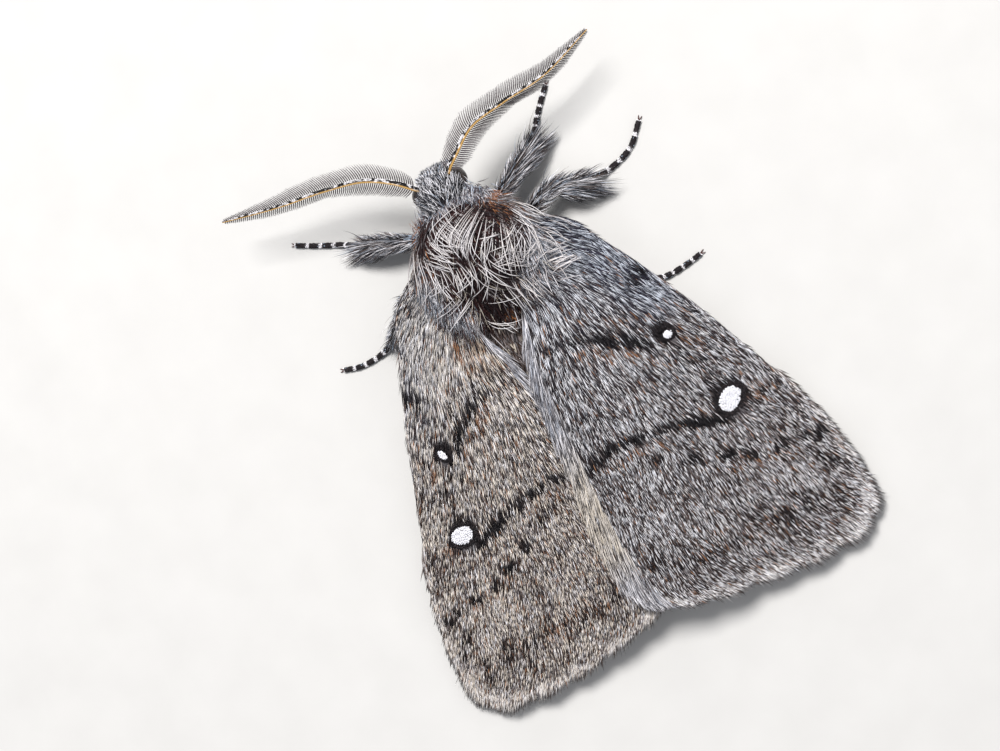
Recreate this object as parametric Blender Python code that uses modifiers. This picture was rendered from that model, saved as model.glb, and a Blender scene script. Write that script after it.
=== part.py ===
"""A male Anthela xantharcha moth at rest with its wings folded like a roof, life size.

Metres, +Z up, +Y towards the head and +X the moth's right side. The body is laid out from
the middle of the thorax, and the whole is then moved so that the origin lies on the floor
below the middle of its bounding box.
"""

import math
import random

import bmesh
import bpy
import numpy as np

MM = 0.001
GAP = 0.3 * MM  # between nodes that touch
MERGE = 0.001 * MM
SHARP = math.radians(40)  # edges at a steeper angle stay sharp

# The folded wings' surface: rows of (y, height or half width)
RIDGE = MM * np.array([(-29, 3.0), (-20, 5.1), (-12, 7.1), (-5, 7.9), (3, 6.7)])
EDGE = MM * np.array([(-29, 0.85), (-20, 1.0), (-12, 1.6), (-6, 2.7), (0, 4.5), (3, 5.5)])
HALF = MM * np.array([(-29, 17.2), (-20, 16.2), (-12, 13.0), (-6, 10.2), (0, 7.0), (3, 5.0)])
ROOF_POWER = 1.5
WING_THICK = 0.5 * MM
VEIN_RISE = 0.2 * MM
LIFT = WING_THICK + VEIN_RISE + 1.2 * GAP  # of the right forewing where it lies on the left
LIFT_SIDE = MM * np.array((7.0, 2.6))  # x where the lift starts and is whole
LIFT_BACK = MM * np.array((-4.0, -9.0))  # y where the lift starts and is whole
HINDWING_DROP = WING_THICK + VEIN_RISE + 1.1 * GAP  # below the forewing

# Outlines of the right wings from above: (x, y) in millimetres. The veins are shares of the
# outer edge, and rows is how many stations the surface has from root to outer edge
FOREWING = {
    "costa": [(2.2, 1.6), (4.6, 0.9), (6.5, -0.3), (8.0, -2.7), (11.2, -9.2), (14.4, -17.3)],
    "outer": [(14.4, -17.3), (15.7, -21.3), (16.3, -24.7), (16.4, -27.0), (15.9, -28.5), (14.7, -29.3),
              (12.0, -29.6), (8.0, -29.3), (4.0, -28.5), (1.2, -27.8), (-0.4, -27.2)],
    "inner": [(1.5, -2.4), (1.6, -4.3), (0.9, -6.6), (0.2, -9.0), (-0.4, -12.0), (-1.2, -16.5),
              (-1.9, -21.5), (-1.7, -25.2), (-0.4, -27.2)],
    "root": [(2.2, 1.6), (2.0, -0.4), (1.5, -2.4)],
    "veins": (0.05, 0.16, 0.26, 0.35, 0.44, 0.53, 0.62, 0.71, 0.80, 0.92),
    "rows": 10,
}
HINDWING = {
    "costa": [(1.8, -1.9), (5.2, -4.4), (8.3, -9.0), (10.8, -14.5)],
    "outer": [(10.8, -14.5), (11.9, -19.0), (11.2, -22.4), (8.4, -24.2), (5.0, -24.6), (2.2, -23.6),
              (0.9, -21.4)],
    "inner": [(1.2, -3.0), (2.3, -4.6), (1.6, -8.0), (0.9, -14.0), (0.9, -21.4)],
    "root": [(1.8, -1.9), (1.6, -2.5), (1.2, -3.0)],
    "veins": (0.06, 0.22, 0.38, 0.54, 0.70, 0.88),
    "rows": 8,
}
STEM_VEINS = (1, 6, 9)  # the ones that run out from the root; the rest leave the cell's end
CELL_END = (0.37, 0.45)  # of the wing's length, where the other veins rise
VEIN_HALF = 0.013  # half width of a vein, as a share of the outer edge
VEIN_FULL = 0.3 * MM  # half width at which a vein has its whole rise
VEIN_FADE = (1.0, 0.9)  # of the wing's length, where the veins run out into the edge

# Body, from the middle of the thorax
THORAX_AT = MM * np.array((0.4, -0.1, 4.9))
THORAX_CORE = MM * np.array((3.9, 4.4, 3.3))
THORAX_RINGS = (24, 14)
THORAX_FRONT = 3.9 * MM
THORAX_BACK = -3.75 * MM
COAT = {"count": 185, "length": 5.0 * MM, "rise": 1.4 * MM, "width": 1.55 * MM, "seed": 12}
LOCK_THICK = 0.5 * MM
WINGS_START = MM * np.array((2.6, 1.4))  # y where the coat starts to lie over the forewings
COAT_LOWEST = 3.4 * MM  # clear of the legs
COAT_SIDES = 1.3 * MM  # how far back the locks under the wings' front edges go
COAT_FRONT = 3.8 * MM
COAT_ABOVE = 0.3 * MM  # how far over the wings' surface a lock over them has its root
COAT_LIE = (0.75, 0.05, 0.2)  # sideways lie: share of the root's own side, middle and spread
COAT_UNDER = 0.6  # length of the locks below the wings' front edges, as a share
COAT_CLEAR = VEIN_RISE + GAP + 1.4 * LOCK_THICK  # of a lock's middle from a wing
COAT_BACK = -2.9 * MM
ROOT_SUNK = 0.6 * MM
LOCK_STEPS = 4
TAPER = (0, 0.3, 0.7, 1)  # shares of a lock's length
TAPER_WIDTH = (0.75, 1, 0.8, 0.14)
TAPER_THICK = (1, 1, 0.8, 0.25)
LENGTH_RANGE = (0.8, 1.15)  # of the named length, and so on
RISE_RANGE = (0.75, 1.1)
WIDTH_RANGE = (0.85, 1.1)
LIFT_POWER = 0.8  # below 1, a lock leaves the body at once and then lies along it
HEAD_AT = MM * np.array((0.1, 5.2, 4.7))
HEAD_HALF = MM * np.array((1.75, 1.35, 1.55))
HEAD_RINGS = (16, 10)
EYE_AT = MM * np.array((1.5, 0.2, -0.15))  # from the head's middle, right side
EYE_HALF = MM * np.array((0.55, 0.75, 0.8))
EYE_RINGS = (12, 8)
TUFT = {"count": 80, "length": 1.6 * MM, "rise": 0.9 * MM, "width": 0.75 * MM, "seed": 5}
CROWN_LOWEST = (0.35, -0.35)  # height and place forward of the lowest, rearmost crown locks
BROW_LOWEST = (0.15, 0.6)  # the same for the locks over the face
TUFT_SIDE = 0.42  # how far out the tuft goes, so that the eyes stay clear
CROWN_LIE = (0.4, 0.7, 0.5)  # share of the root's own side, forward, up
BROW_LIE = (1.0, 0.9, 0.1)
PALP_ROOT = np.array((0.42, 0.9, -0.8))
PALP_TIP = MM * np.array((0.15, 1.05, -0.4))
PALP_BASE = 0.6 * MM
PALP_RADII = MM * np.array((0.28, 0.28, 0.2))
ABDOMEN_BACK = -19.6 * MM
ABDOMEN_SIDES = 14
JOINT_NARROW = 0.95
ABDOMEN_SEGMENTS = 8
# Rows of (y, half width, top or belly)
ABDOMEN_HALF = MM * np.array([(-19.6, 0.5), (-18.6, 1.25), (-16, 2), (-11, 2.75), (-7, 2.9), (-3.9, 2.4)])
ABDOMEN_TOP = MM * np.array([(-19.6, 1.1), (-18.6, 2.0), (-16, 3.5), (-11, 4.9), (-7, 5.9), (-3.9, 6.2)])
ABDOMEN_BELLY = MM * np.array([(-19.6, 0), (-18.6, 0), (-16.5, 0.1), (-11, 0.7), (-7, 1.3), (-3.9, 1.9)])
SEGMENT_WIDEST = 0.65  # of a segment's length from its front
ABDOMEN_SEED = 3
ABDOMEN_LOCK = 1.1 * MM  # width
SIDE_LOCKS = MM * np.array((-6.2, -9.2, -12.2, -15.2))  # y of their roots
SIDE_HEIGHTS = (0.5, 0.62)  # of the abdomen's top, in turn
SIDE_REACH = MM * np.array((0.75, -3.8, -0.1))
SIDE_SPREAD = 0.4 * MM
SIDE_BOW = 0.45 * MM
TIP_LOCKS = 7
TIP_ROOT = MM * np.array((0.55, 1.0, 0.55))  # half the fan's width, forward of the end, height
TIP_REACH = MM * np.array((1.2, -2.9, -0.15))
TIP_SHORTER = 0.5 * MM  # the outermost locks
TIP_LAYERS = MM * np.array((0.3, 0.35))  # how much higher every second lock starts and ends

# Antennae: the shaft's places in millimetres
ANTENNA_ROOT = np.array((0.66, 0.32, 0.62))  # direction from the head's middle
ANTENNA = {
    "right": [(2.4, 6.7, 6.0), (4.1, 7.75, 6.1), (6.7, 8.15, 5.9), (9.8, 8.4, 5.5), (13.9, 9.7, 5.0)],
    "left": [(-2.1, 6.9, 6.0), (-3.9, 8.1, 6.1), (-6.6, 8.9, 5.9), (-10.2, 9.6, 5.5), (-14.4, 10.7, 5.0)],
}
SHAFT = 0.27 * MM
SHAFT_THINNER = 0.5  # share that the shaft loses towards its tip
SHAFT_BASE = 0.35 * MM  # straight out of the head
RAY_PAIRS = 11
RAY = 1.2 * MM  # longest ray, from the shaft's middle
RAY_WIDTHS = MM * np.array((0.5, 0.38, 0.12))
RAY_REACH = ((0, 0.25, 0.7, 1), (0.5, 1, 0.85, 0.3))  # share of the shaft, share of the longest ray
RAY_FRONT = (0.95, 0.3)  # a front ray's way: forward and up
RAY_REAR = (-0.75, -0.65)
RAY_SWEEP = (0.1, 0.35)  # how far its middle and tip lean towards the shaft's tip
RAYS_START = 0.1
RAYS_END = 0.96
SHAFT_STEPS = 12

# Legs, in millimetres: root under the thorax, knee, ankle, the foot's places on the floor and
# the length of the tibia's tuft
FOOT_HEIGHT = 0.19 * MM
FOOT = 0.28 * MM
LEG = 0.42 * MM
FOOT_STEPS = 9
FOOT_BASE = 0.45 * MM
FOOT_GAP = GAP / 2 + 0.04 * MM  # from the ankle, wider as the foot turns there
FOOT_THINNER = 0.15  # share that the foot loses towards its end
FOOT_WAIST = 0.12  # share that every second ring of a foot is thinner
HIP = 0.4 * MM  # how far a leg stands off the thorax before it turns to the knee
KNEE = 0.8 * MM  # from the knee's joint to the tibia's bend
FEMUR_RADII = LEG * np.array((1.0, 1.05, 1.0, 0.9))
TIBIA_RADII = LEG * np.array((0.85, 0.9, 0.85, 0.75))
TIBIA_LOCK = 1.1 * MM  # width
TIBIA_LOWEST = 0.5 * MM
TIBIA_WAY = (0.8, 0.75)  # how far a lock goes out and along the tibia, as shares of its length
TIBIA_BOW = 0.25 * MM
# Each lock of a tibia's tuft: share of the tibia, and its way to the rear and up
TIBIA_LOCKS = ((0.12, 1, 0.1), (0.27, 0.8, 0.7), (0.4, 1, -0.15), (0.5, -0.8, 0.5), (0.56, 0.7, 0.8),
               (0.7, 1, 0.2))
LEGS = {
    "leg_front_right": {
        "root": (1.7, 2.1), "knee": (3.7, 3.6, 2.3), "ankle": (6.9, 5.6, 0.8),
        "ground": ((7.7, 6.8), (8.6, 7.8), (9.3, 8.5)), "tuft": 2.1,
    },
    "leg_middle_right": {
        "root": (1.9, 0.2), "knee": (5.6, 1.8, 2.3), "ankle": (9.2, 1.2, 0.8),
        "ground": ((10.6, 1.25), (12.4, 1.85), (13.8, 3.2)), "tuft": 2.3,
    },
    "leg_hind_right": {
        "root": (1.8, -1.7), "knee": (5.2, -3.6, 1.8), "ankle": (9.4, -6.9, 0.7),
        "ground": ((10.4, -7.15), (11.9, -7.1), (13.2, -6.9)), "tuft": 1.3,
    },
    "leg_front_left": {
        "root": (-1.5, 2.1), "knee": (-4.3, 3.7, 2.3), "ankle": (-7.7, 5.1, 0.8),
        "ground": ((-8.9, 5.8), (-10.3, 6.5), (-11.9, 7.4)), "tuft": 2.0,
    },
    "leg_middle_left": {
        "root": (-1.7, 0.2), "knee": (-5.4, 0.2, 2.2), "ankle": (-8.9, -2.1, 0.7),
        "ground": ((-10.3, -2.45), (-11.9, -2.45), (-13.1, -2.1)), "tuft": 1.7,
    },
    "leg_hind_left": {
        "root": (-1.6, -1.7), "knee": (-4.9, -4.0, 1.8), "ankle": (-7.6, -8.4, 0.7),
        "ground": ((-8.3, -9.6), (-9.1, -11.0), (-9.9, -12.4)), "tuft": 1.3,
    },
}

THORAX_LOOK = ((0.2, 0.17, 0.17), 0.9)
ABDOMEN_LOOK = ((0.16, 0.12, 0.1), 0.9)
HEAD_LOOK = ((0.35, 0.36, 0.4), 0.9)
PALP_LOOK = ((0.2, 0.19, 0.2), 0.9)
EYE_LOOK = ((0.02, 0.015, 0.012), 0.25)
WING_LOOK = ((0.3, 0.28, 0.27), 0.9)
ANTENNA_LOOK = ((0.35, 0.27, 0.16), 0.7)
LEG_LOOK = ((0.1, 0.1, 0.11), 0.85)


def hermite(knots, values, at):
    """Cubic pieces through the values at the knots, with slopes taken from their neighbours."""
    slopes = np.gradient(values, knots, axis=0)
    at = np.clip(at, knots[0], knots[-1])
    i = np.clip(np.searchsorted(knots, at, side="right") - 1, 0, len(knots) - 2)
    step = knots[i + 1] - knots[i]
    f = (at - knots[i]) / step
    if values.ndim > 1:
        f, step = f[..., None], step[..., None]
    rise = 3 * f**2 - 2 * f**3
    return (
        (1 - rise) * values[i]
        + rise * values[i + 1]
        + (f**3 - 2 * f**2 + f) * step * slopes[i]
        + (f**3 - f**2) * step * slopes[i + 1]
    )


def along(places, shares):
    """Points at the given shares of the length of a smooth curve through the places."""
    places = np.asarray(places, float)
    knots = np.concatenate([[0.0], np.cumsum(np.linalg.norm(np.diff(places, axis=0), axis=1))])
    return hermite(knots, places, np.asarray(shares, float) * knots[-1])


def profile(rows, at):
    """The smooth value of (place, value) rows at the given places."""
    return hermite(rows[:, 0], rows[:, 1], np.asarray(at, float))


def ramp(value, start, end):
    """0 at the start and 1 at the end, easing at both."""
    share = np.clip((value - start) / (end - start), 0, 1)
    return share * share * (3 - 2 * share)


def roof(x, y):
    """Height of the folded wings: edge + (ridge - edge) * (1 - (|x| / half)^1.5)."""
    ridge, edge, half = (profile(rows, y) for rows in (RIDGE, EDGE, HALF))
    out = np.minimum(np.abs(x) / half, 1.0)
    return edge + (ridge - edge) * (1 - out**ROOF_POWER)


def right_lift(x, y):
    """How far the right forewing is raised to lie on the left one."""
    return LIFT * ramp(x, *LIFT_SIDE) * ramp(y, *LIFT_BACK)


def finish(colour, roughness, metallic=0.0):
    """A Principled material."""
    material = bpy.data.materials.new("finish")
    material.use_nodes = True
    shader = material.node_tree.nodes["Principled BSDF"]
    shader.inputs["Base Color"].default_value = (*colour, 1.0)
    shader.inputs["Roughness"].default_value = roughness
    shader.inputs["Metallic"].default_value = metallic
    return material


def start():
    """Empties the scene and makes the collections of parts and cutters."""
    for thing in list(bpy.data.objects):
        bpy.data.objects.remove(thing)
    made = []
    for name in ("anthela_xantharcha", "cutters"):
        made.append(bpy.data.collections.new(name))
        bpy.context.scene.collection.children.link(made[-1])
    return made


def add(name, mesh, collection, look=None):
    """Puts a bmesh or a mesh into the scene as an object, shaded smooth with sharp edges kept."""
    data = mesh
    if isinstance(mesh, bmesh.types.BMesh):
        data = bpy.data.meshes.new(name)
        mesh.to_mesh(data)
        mesh.free()
    thing = bpy.data.objects.new(name, data)
    collection.objects.link(thing)
    if look:
        data.materials.append(finish(*look))
    data.shade_smooth()
    data.set_sharp_from_angle(angle=SHARP)
    return thing


def ovoid(at, half, rings, front=None, back=None):
    """An ellipsoid about `at` with its poles along Y, cut flat at the front and back if given."""
    mesh = bmesh.new()
    bmesh.ops.create_uvsphere(mesh, u_segments=rings[0], v_segments=rings[1], radius=1.0)
    for vertex in mesh.verts:
        x, y, z = vertex.co
        place = at + half * np.array((x, z, -y))
        if front is not None:
            place[1] = min(place[1], front)
        if back is not None:
            place[1] = max(place[1], back)
        vertex.co = place
    return mesh


def loft(rings):
    """A closed surface through rings of points, with both ends filled."""
    mesh = bmesh.new()
    rows = [[mesh.verts.new(point) for point in ring] for ring in rings]
    for first, second in zip(rows, rows[1:]):
        for i in range(len(first)):
            mesh.faces.new((first[i - 1], first[i], second[i], second[i - 1]))
    mesh.faces.new(rows[0])
    mesh.faces.new(rows[-1])
    bmesh.ops.triangulate(mesh, faces=mesh.faces[:])
    bmesh.ops.recalc_face_normals(mesh, faces=mesh.faces[:])
    return mesh


def ribbon(path, facing, widths, thicks):
    """A flat, tapered strip along a path: diamond sections across it, flat towards `facing`."""
    ahead = np.gradient(path, axis=0)
    across = np.cross(ahead, facing)
    across /= np.linalg.norm(across, axis=1, keepdims=True)
    up = np.cross(across, ahead)
    up /= np.linalg.norm(up, axis=1, keepdims=True)
    wide = across * np.asarray(widths)[:, None] / 2
    tall = up * np.asarray(thicks)[:, None] / 2
    return loft(np.stack([path + wide, path + tall, path - wide, path - tall], axis=1))


def tube(name, points, radii, collection, look=None, sides=2, lowest=None):
    """A round tube along the points, made a mesh, its underside flattened at `lowest` if given."""
    curve = bpy.data.curves.new(name, "CURVE")
    curve.dimensions = "3D"
    curve.twist_mode = "Z_UP"
    curve.bevel_depth = 1.0
    curve.bevel_resolution = sides
    curve.use_fill_caps = True
    spline = curve.splines.new("POLY")
    spline.points.add(len(points) - 1)
    for knot, point, radius in zip(spline.points, points, radii):
        knot.co = (*point, 1.0)
        knot.radius = radius
    guide = bpy.data.objects.new(name, curve)
    collection.objects.link(guide)
    graph = bpy.context.evaluated_depsgraph_get()
    data = bpy.data.meshes.new_from_object(guide.evaluated_get(graph), depsgraph=graph)
    world = guide.matrix_world.copy()
    bpy.data.objects.remove(guide)
    mesh = bmesh.new()
    mesh.from_mesh(data)
    bmesh.ops.remove_doubles(mesh, verts=mesh.verts[:], dist=MERGE)
    if lowest is not None:
        for vertex in mesh.verts:
            vertex.co.z = max(vertex.co.z, lowest)
    thing = add(name, mesh, collection, look)
    thing.matrix_world = world
    return thing


def on_core(at, half, direction, rise=0.0):
    """The point of an ellipsoid in a direction from its middle, raised along its normal."""
    unit = np.asarray(direction, float) / np.linalg.norm(np.asarray(direction, float) / half)
    normal = unit / half**2
    normal /= np.linalg.norm(normal)
    return at + unit + rise * normal, normal


def wing_surface(wing, mirror, height, collection, name, look):
    """A folded wing: a sheet between its costa and inner margin with ridged veins on top."""
    veins = np.array(wing["veins"])
    columns = np.sort(np.concatenate([[0, 1], veins - VEIN_HALF, veins, veins + VEIN_HALF]))
    rows = np.linspace(0, 1, wing["rows"])
    costa, inner = (along(MM * np.array(wing[side]), rows) for side in ("costa", "inner"))
    root, outer = (along(MM * np.array(wing[side]), columns) for side in ("root", "outer"))
    u, v = (grid[..., None] for grid in np.meshgrid(rows, columns, indexing="ij"))
    corners = (1 - u) * ((1 - v) * root[0] + v * root[-1]) + u * ((1 - v) * outer[0] + v * outer[-1])
    flat = (1 - v) * costa[:, None] + v * inner[:, None] + (1 - u) * root + u * outer - corners
    x, y = flat[..., 0], flat[..., 1]
    vein = np.zeros_like(x)
    for number, place in enumerate(veins):
        shown = 1.0 if number in STEM_VEINS else ramp(rows, *CELL_END)
        column = np.argmin(np.abs(columns - place))
        half = np.linalg.norm(flat[:, column] - flat[:, column - 1], axis=1)
        vein[:, column] = shown * ramp(rows, *VEIN_FADE) * np.minimum(half / VEIN_FULL, 1)
    if mirror:
        x = -x
    mesh = bmesh.new()
    bmesh.ops.create_grid(mesh, x_segments=len(columns) - 1, y_segments=len(rows) - 1, size=1.0)
    places = np.stack([x, y, height(x, y)], axis=-1).reshape(-1, 3)
    for vertex, place in zip(mesh.verts, places):
        vertex.co = place
    bmesh.ops.triangulate(mesh, faces=mesh.faces[:], quad_method="FIXED")
    mesh.normal_update()
    if sum(face.normal.z for face in mesh.faces) < 0:
        bmesh.ops.reverse_faces(mesh, faces=mesh.faces[:])
    thing = add(name, mesh, collection, look)
    sheet = thing.modifiers.new("membrane", "SOLIDIFY")
    sheet.thickness = WING_THICK
    sheet.offset = -1.0
    closed = evaluated_mesh(thing)
    thing.modifiers.clear()
    thing.data = closed
    # The sheet's own points come first in the closed mesh, so only its upper face gets the ridges
    for vertex, rise in zip(closed.vertices, vein.reshape(-1)):
        vertex.co.z += VEIN_RISE * float(rise)
    return thing


def cut(thing, cutter, solver="EXACT"):
    """Takes the cutter out of a part; the wings' narrow root faces need the MANIFOLD solver."""
    modifier = thing.modifiers.new("cut", "BOOLEAN")
    modifier.operation = "DIFFERENCE"
    modifier.solver = solver
    modifier.object = cutter


def cutter_of(name, mesh, collection):
    """A helper that only cuts."""
    helper = add(name, mesh, collection)
    helper.hide_render = True
    helper.display_type = "WIRE"
    return helper


def evaluated_mesh(thing):
    """The thing's mesh with its modifiers applied."""
    graph = bpy.context.evaluated_depsgraph_get()
    return bpy.data.meshes.new_from_object(thing.evaluated_get(graph), depsgraph=graph)


def fuse(thing, pieces):
    """Joins closed pieces to a part by one union and keeps its largest closed surface."""
    group = bpy.data.collections.new("pieces of " + thing.name)
    bpy.context.scene.collection.children.link(group)
    for number, piece in enumerate(pieces):
        add("piece %d" % number, piece, group)
    union = thing.modifiers.new("union", "BOOLEAN")
    union.operation = "UNION"
    union.operand_type = "COLLECTION"
    union.collection = group
    union.solver = "EXACT"
    joined = evaluated_mesh(thing)
    thing.modifiers.clear()
    thing.data = joined
    for piece in list(group.objects):
        bpy.data.objects.remove(piece)
    bpy.data.collections.remove(group)
    keep_largest(joined)
    joined.shade_smooth()
    joined.set_sharp_from_angle(angle=SHARP)


def keep_largest(data):
    """Leaves only the closed surface that holds the most."""
    mesh = bmesh.new()
    mesh.from_mesh(data)
    bmesh.ops.triangulate(mesh, faces=mesh.faces[:])
    left = set(mesh.faces)
    shells = []
    while left:
        shell, edge_of = set(), [left.pop()]
        while edge_of:
            face = edge_of.pop()
            shell.add(face)
            near = {other for edge in face.edges for other in edge.link_faces} & left
            left -= near
            edge_of += near
        volume = sum(a.dot(b.cross(c)) for a, b, c in ([v.co for v in face.verts] for face in shell))
        shells.append((volume, shell))
    largest = max(shells, key=lambda pair: pair[0])[1]
    bmesh.ops.delete(mesh, geom=[face for face in mesh.faces if face not in largest], context="FACES")
    mesh.to_mesh(data)
    mesh.free()


def directions(count):
    """Evenly spread unit vectors, along a spiral from the top of a ball to its foot."""
    number = np.arange(count) + 0.5
    height = 1 - 2 * number / count
    turn = number * np.pi * (3 - math.sqrt(5))
    level = np.sqrt(1 - height**2)
    return np.stack([level * np.cos(turn), level * np.sin(turn), height], axis=1)


def lock(path, facing, width):
    """One lock of hair: widest near its root and drawn out to a thin tip."""
    share = np.linspace(0, 1, len(path))
    widths = width * np.interp(share, TAPER, TAPER_WIDTH)
    return ribbon(path, facing, widths, LOCK_THICK * np.interp(share, TAPER, TAPER_THICK))


def coat_lock(at, half, root, lie, sizes, draw, share_of_length=1.0):
    """The path and facing of a lock that leaves an ellipsoid, bends over and lies along `lie`."""
    root = root / np.linalg.norm(root)
    lie = lie - root * np.dot(lie, root)
    lie /= np.linalg.norm(lie)
    length = share_of_length * sizes["length"] * draw.uniform(*LENGTH_RANGE) / half.mean()
    rise = sizes["rise"] * draw.uniform(*RISE_RANGE)
    share = np.linspace(0, 1, LOCK_STEPS)
    unit = root + share[:, None] * lie * length
    unit /= np.linalg.norm(unit, axis=1, keepdims=True)
    normal = unit / half
    normal /= np.linalg.norm(normal, axis=1, keepdims=True)
    lift = -ROOT_SUNK + (rise + ROOT_SUNK) * share**LIFT_POWER
    return at + half * unit + lift[:, None] * normal, normal


def thorax(parts):
    """The thorax: a core with its coat of long locks that stream back over the wing roots."""
    body = ovoid(THORAX_AT, THORAX_CORE, THORAX_RINGS, THORAX_FRONT, THORAX_BACK)
    core = add("thorax", body, parts, THORAX_LOOK)
    draw = random.Random(COAT["seed"])
    locks = []
    for root in directions(COAT["count"]):
        place = THORAX_AT + THORAX_CORE * root
        over = place[2] > roof(place[0], place[1]) + COAT_ABOVE
        front = place[1] > COAT_SIDES
        if place[2] < COAT_LOWEST or not (over or front) or not COAT_BACK < place[1] < COAT_FRONT:
            continue
        side, middle, spread = COAT_LIE
        lie = np.array((side * root[0] + middle + draw.uniform(-spread, spread), -1.0, 0.0))
        share = 1.0 if over else COAT_UNDER
        path, normal = coat_lock(THORAX_AT, THORAX_CORE, root, lie, COAT, draw, share)
        x, y = path[:, 0], path[:, 1]
        least = roof(x, y) + right_lift(x, y) + COAT_CLEAR
        most = roof(x, y) - WING_THICK - COAT_CLEAR
        moved = np.maximum(path[:, 2], least) if over else np.minimum(path[:, 2], most)
        path[:, 2] += ramp(y, *WINGS_START) * (moved - path[:, 2])
        path[:, 2] = np.maximum(path[:, 2], COAT_LOWEST)
        locks.append(lock(path, normal, COAT["width"] * draw.uniform(*WIDTH_RANGE)))
    fuse(core, locks)


def abdomen(parts):
    """The abdomen: rings that narrow at each joint, with a tuft at the tip and locks along the sides."""
    ends = np.linspace(THORAX_BACK - GAP, ABDOMEN_BACK, ABDOMEN_SEGMENTS + 1)
    stations = [(ends[-1], 1.0)]
    for front, back in zip(ends, ends[1:]):
        stations += [(front, JOINT_NARROW), (front + SEGMENT_WIDEST * (back - front), 1.0)]
    angles = np.linspace(0, 2 * np.pi, ABDOMEN_SIDES, endpoint=False)
    rings = []
    for y, share in sorted(stations, reverse=True):
        half, top, belly = (profile(rows, y) for rows in (ABDOMEN_HALF, ABDOMEN_TOP, ABDOMEN_BELLY))
        middle, tall = (top + max(belly, 0.0)) / 2, (top - max(belly, 0.0)) / 2
        x = half * share * np.cos(angles)
        rings.append(np.stack([x, np.full_like(x, y), middle + tall * share * np.sin(angles)], axis=1))
    thing = add("abdomen", loft(rings), parts, ABDOMEN_LOOK)
    draw = random.Random(ABDOMEN_SEED)
    share = np.linspace(0, 1, LOCK_STEPS)[:, None]
    locks = []
    for number, y in enumerate(SIDE_LOCKS):
        for sign in (-1, 1):
            top = profile(ABDOMEN_TOP, y)
            height = SIDE_HEIGHTS[number % 2] * top
            root = np.array((sign * (profile(ABDOMEN_HALF, y) - ROOT_SUNK), y, height))
            reach = SIDE_REACH * (sign, 1, 1) + (0, draw.uniform(-SIDE_SPREAD, SIDE_SPREAD), 0)
            path = root + share * reach
            path[:, 0] += sign * SIDE_BOW * np.sin(np.pi * share[:, 0])
            locks.append(lock(path, np.tile((sign, 0.0, 0.5), (LOCK_STEPS, 1)), ABDOMEN_LOCK))
    for number in range(TIP_LOCKS):
        fan = (number + 0.5) / TIP_LOCKS * 2 - 1
        above = number % 2 * TIP_LAYERS
        root = np.array((TIP_ROOT[0] * fan, ABDOMEN_BACK + TIP_ROOT[1], TIP_ROOT[2] + above[0]))
        reach = TIP_REACH * (fan, 1, 1) + (0, TIP_SHORTER * abs(fan), above[1])
        locks.append(lock(root + share * reach, np.tile((0, 0, 1.0), (LOCK_STEPS, 1)), ABDOMEN_LOCK))
    fuse(thing, locks)


def head(parts, cutters):
    """The head with its eyes, palps and the tuft between the antennae."""
    body = ovoid(HEAD_AT, HEAD_HALF, HEAD_RINGS, None, THORAX_FRONT + GAP)
    skull = add("head", body, parts, HEAD_LOOK)
    for side, sign in (("right", 1), ("left", -1)):
        place = HEAD_AT + EYE_AT * (sign, 1, 1)
        add("eye_" + side, ovoid(place, EYE_HALF, EYE_RINGS), parts, EYE_LOOK)
        cut(skull, cutter_of("socket_" + side, ovoid(place, EYE_HALF + GAP, EYE_RINGS), cutters))
        begin, normal = on_core(HEAD_AT, HEAD_HALF, PALP_ROOT * (sign, 1, 1), GAP)
        points = np.array([begin, begin + PALP_BASE * normal, begin + PALP_TIP * (sign, 1, 1)])
        tube("palp_" + side, points, PALP_RADII, parts, PALP_LOOK)
    draw = random.Random(TUFT["seed"])
    locks = []
    for root in directions(TUFT["count"]):
        crown = root[2] > CROWN_LOWEST[0] and root[1] > CROWN_LOWEST[1]
        brow = root[2] > BROW_LOWEST[0] and root[1] > BROW_LOWEST[1]
        if abs(root[0]) > TUFT_SIDE or not (crown or brow):
            continue
        lie = np.array(CROWN_LIE if crown else BROW_LIE) * (root[0], 1, 1)
        path, normal = coat_lock(HEAD_AT, HEAD_HALF, root, lie, TUFT, draw)
        locks.append(lock(path, normal, TUFT["width"]))
    fuse(skull, locks)


def antenna(side, sign, parts):
    """A feather-like antenna: a shaft with a row of rays in front and one below."""
    root, normal = on_core(HEAD_AT, HEAD_HALF, HEAD_HALF * ANTENNA_ROOT * (sign, 1, 1), GAP)
    path = np.vstack([[root, root + SHAFT_BASE * normal], MM * np.array(ANTENNA[side])])
    shares = np.linspace(0, 1, SHAFT_STEPS)
    points = along(path, shares)
    points[:2] = path[:2]
    radii = SHAFT * (1 - SHAFT_THINNER * shares**2)
    shaft = tube("antenna_" + side, points, radii, parts, ANTENNA_LOOK, sides=1)
    rays = []
    for share in np.linspace(RAYS_START, RAYS_END, RAY_PAIRS):
        begin, after = along(path, [share, share + 0.01])
        ahead = (after - begin) / np.linalg.norm(after - begin)
        front = np.cross((0, 0, sign), ahead)
        front /= np.linalg.norm(front)
        reach = RAY * np.interp(share, RAY_REACH[0], RAY_REACH[1])
        for forward, up in (RAY_FRONT, RAY_REAR):
            way = forward * front + (0, 0, up)
            tip = begin + reach * (way + RAY_SWEEP[1] * ahead)
            middle = begin + reach * (0.5 * way + RAY_SWEEP[0] * ahead)
            facing = np.tile(np.cross(ahead, way), (3, 1))
            rays.append(ribbon(np.array([begin, middle, tip]), facing, RAY_WIDTHS, RAY_WIDTHS))
    fuse(shaft, rays)


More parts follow.
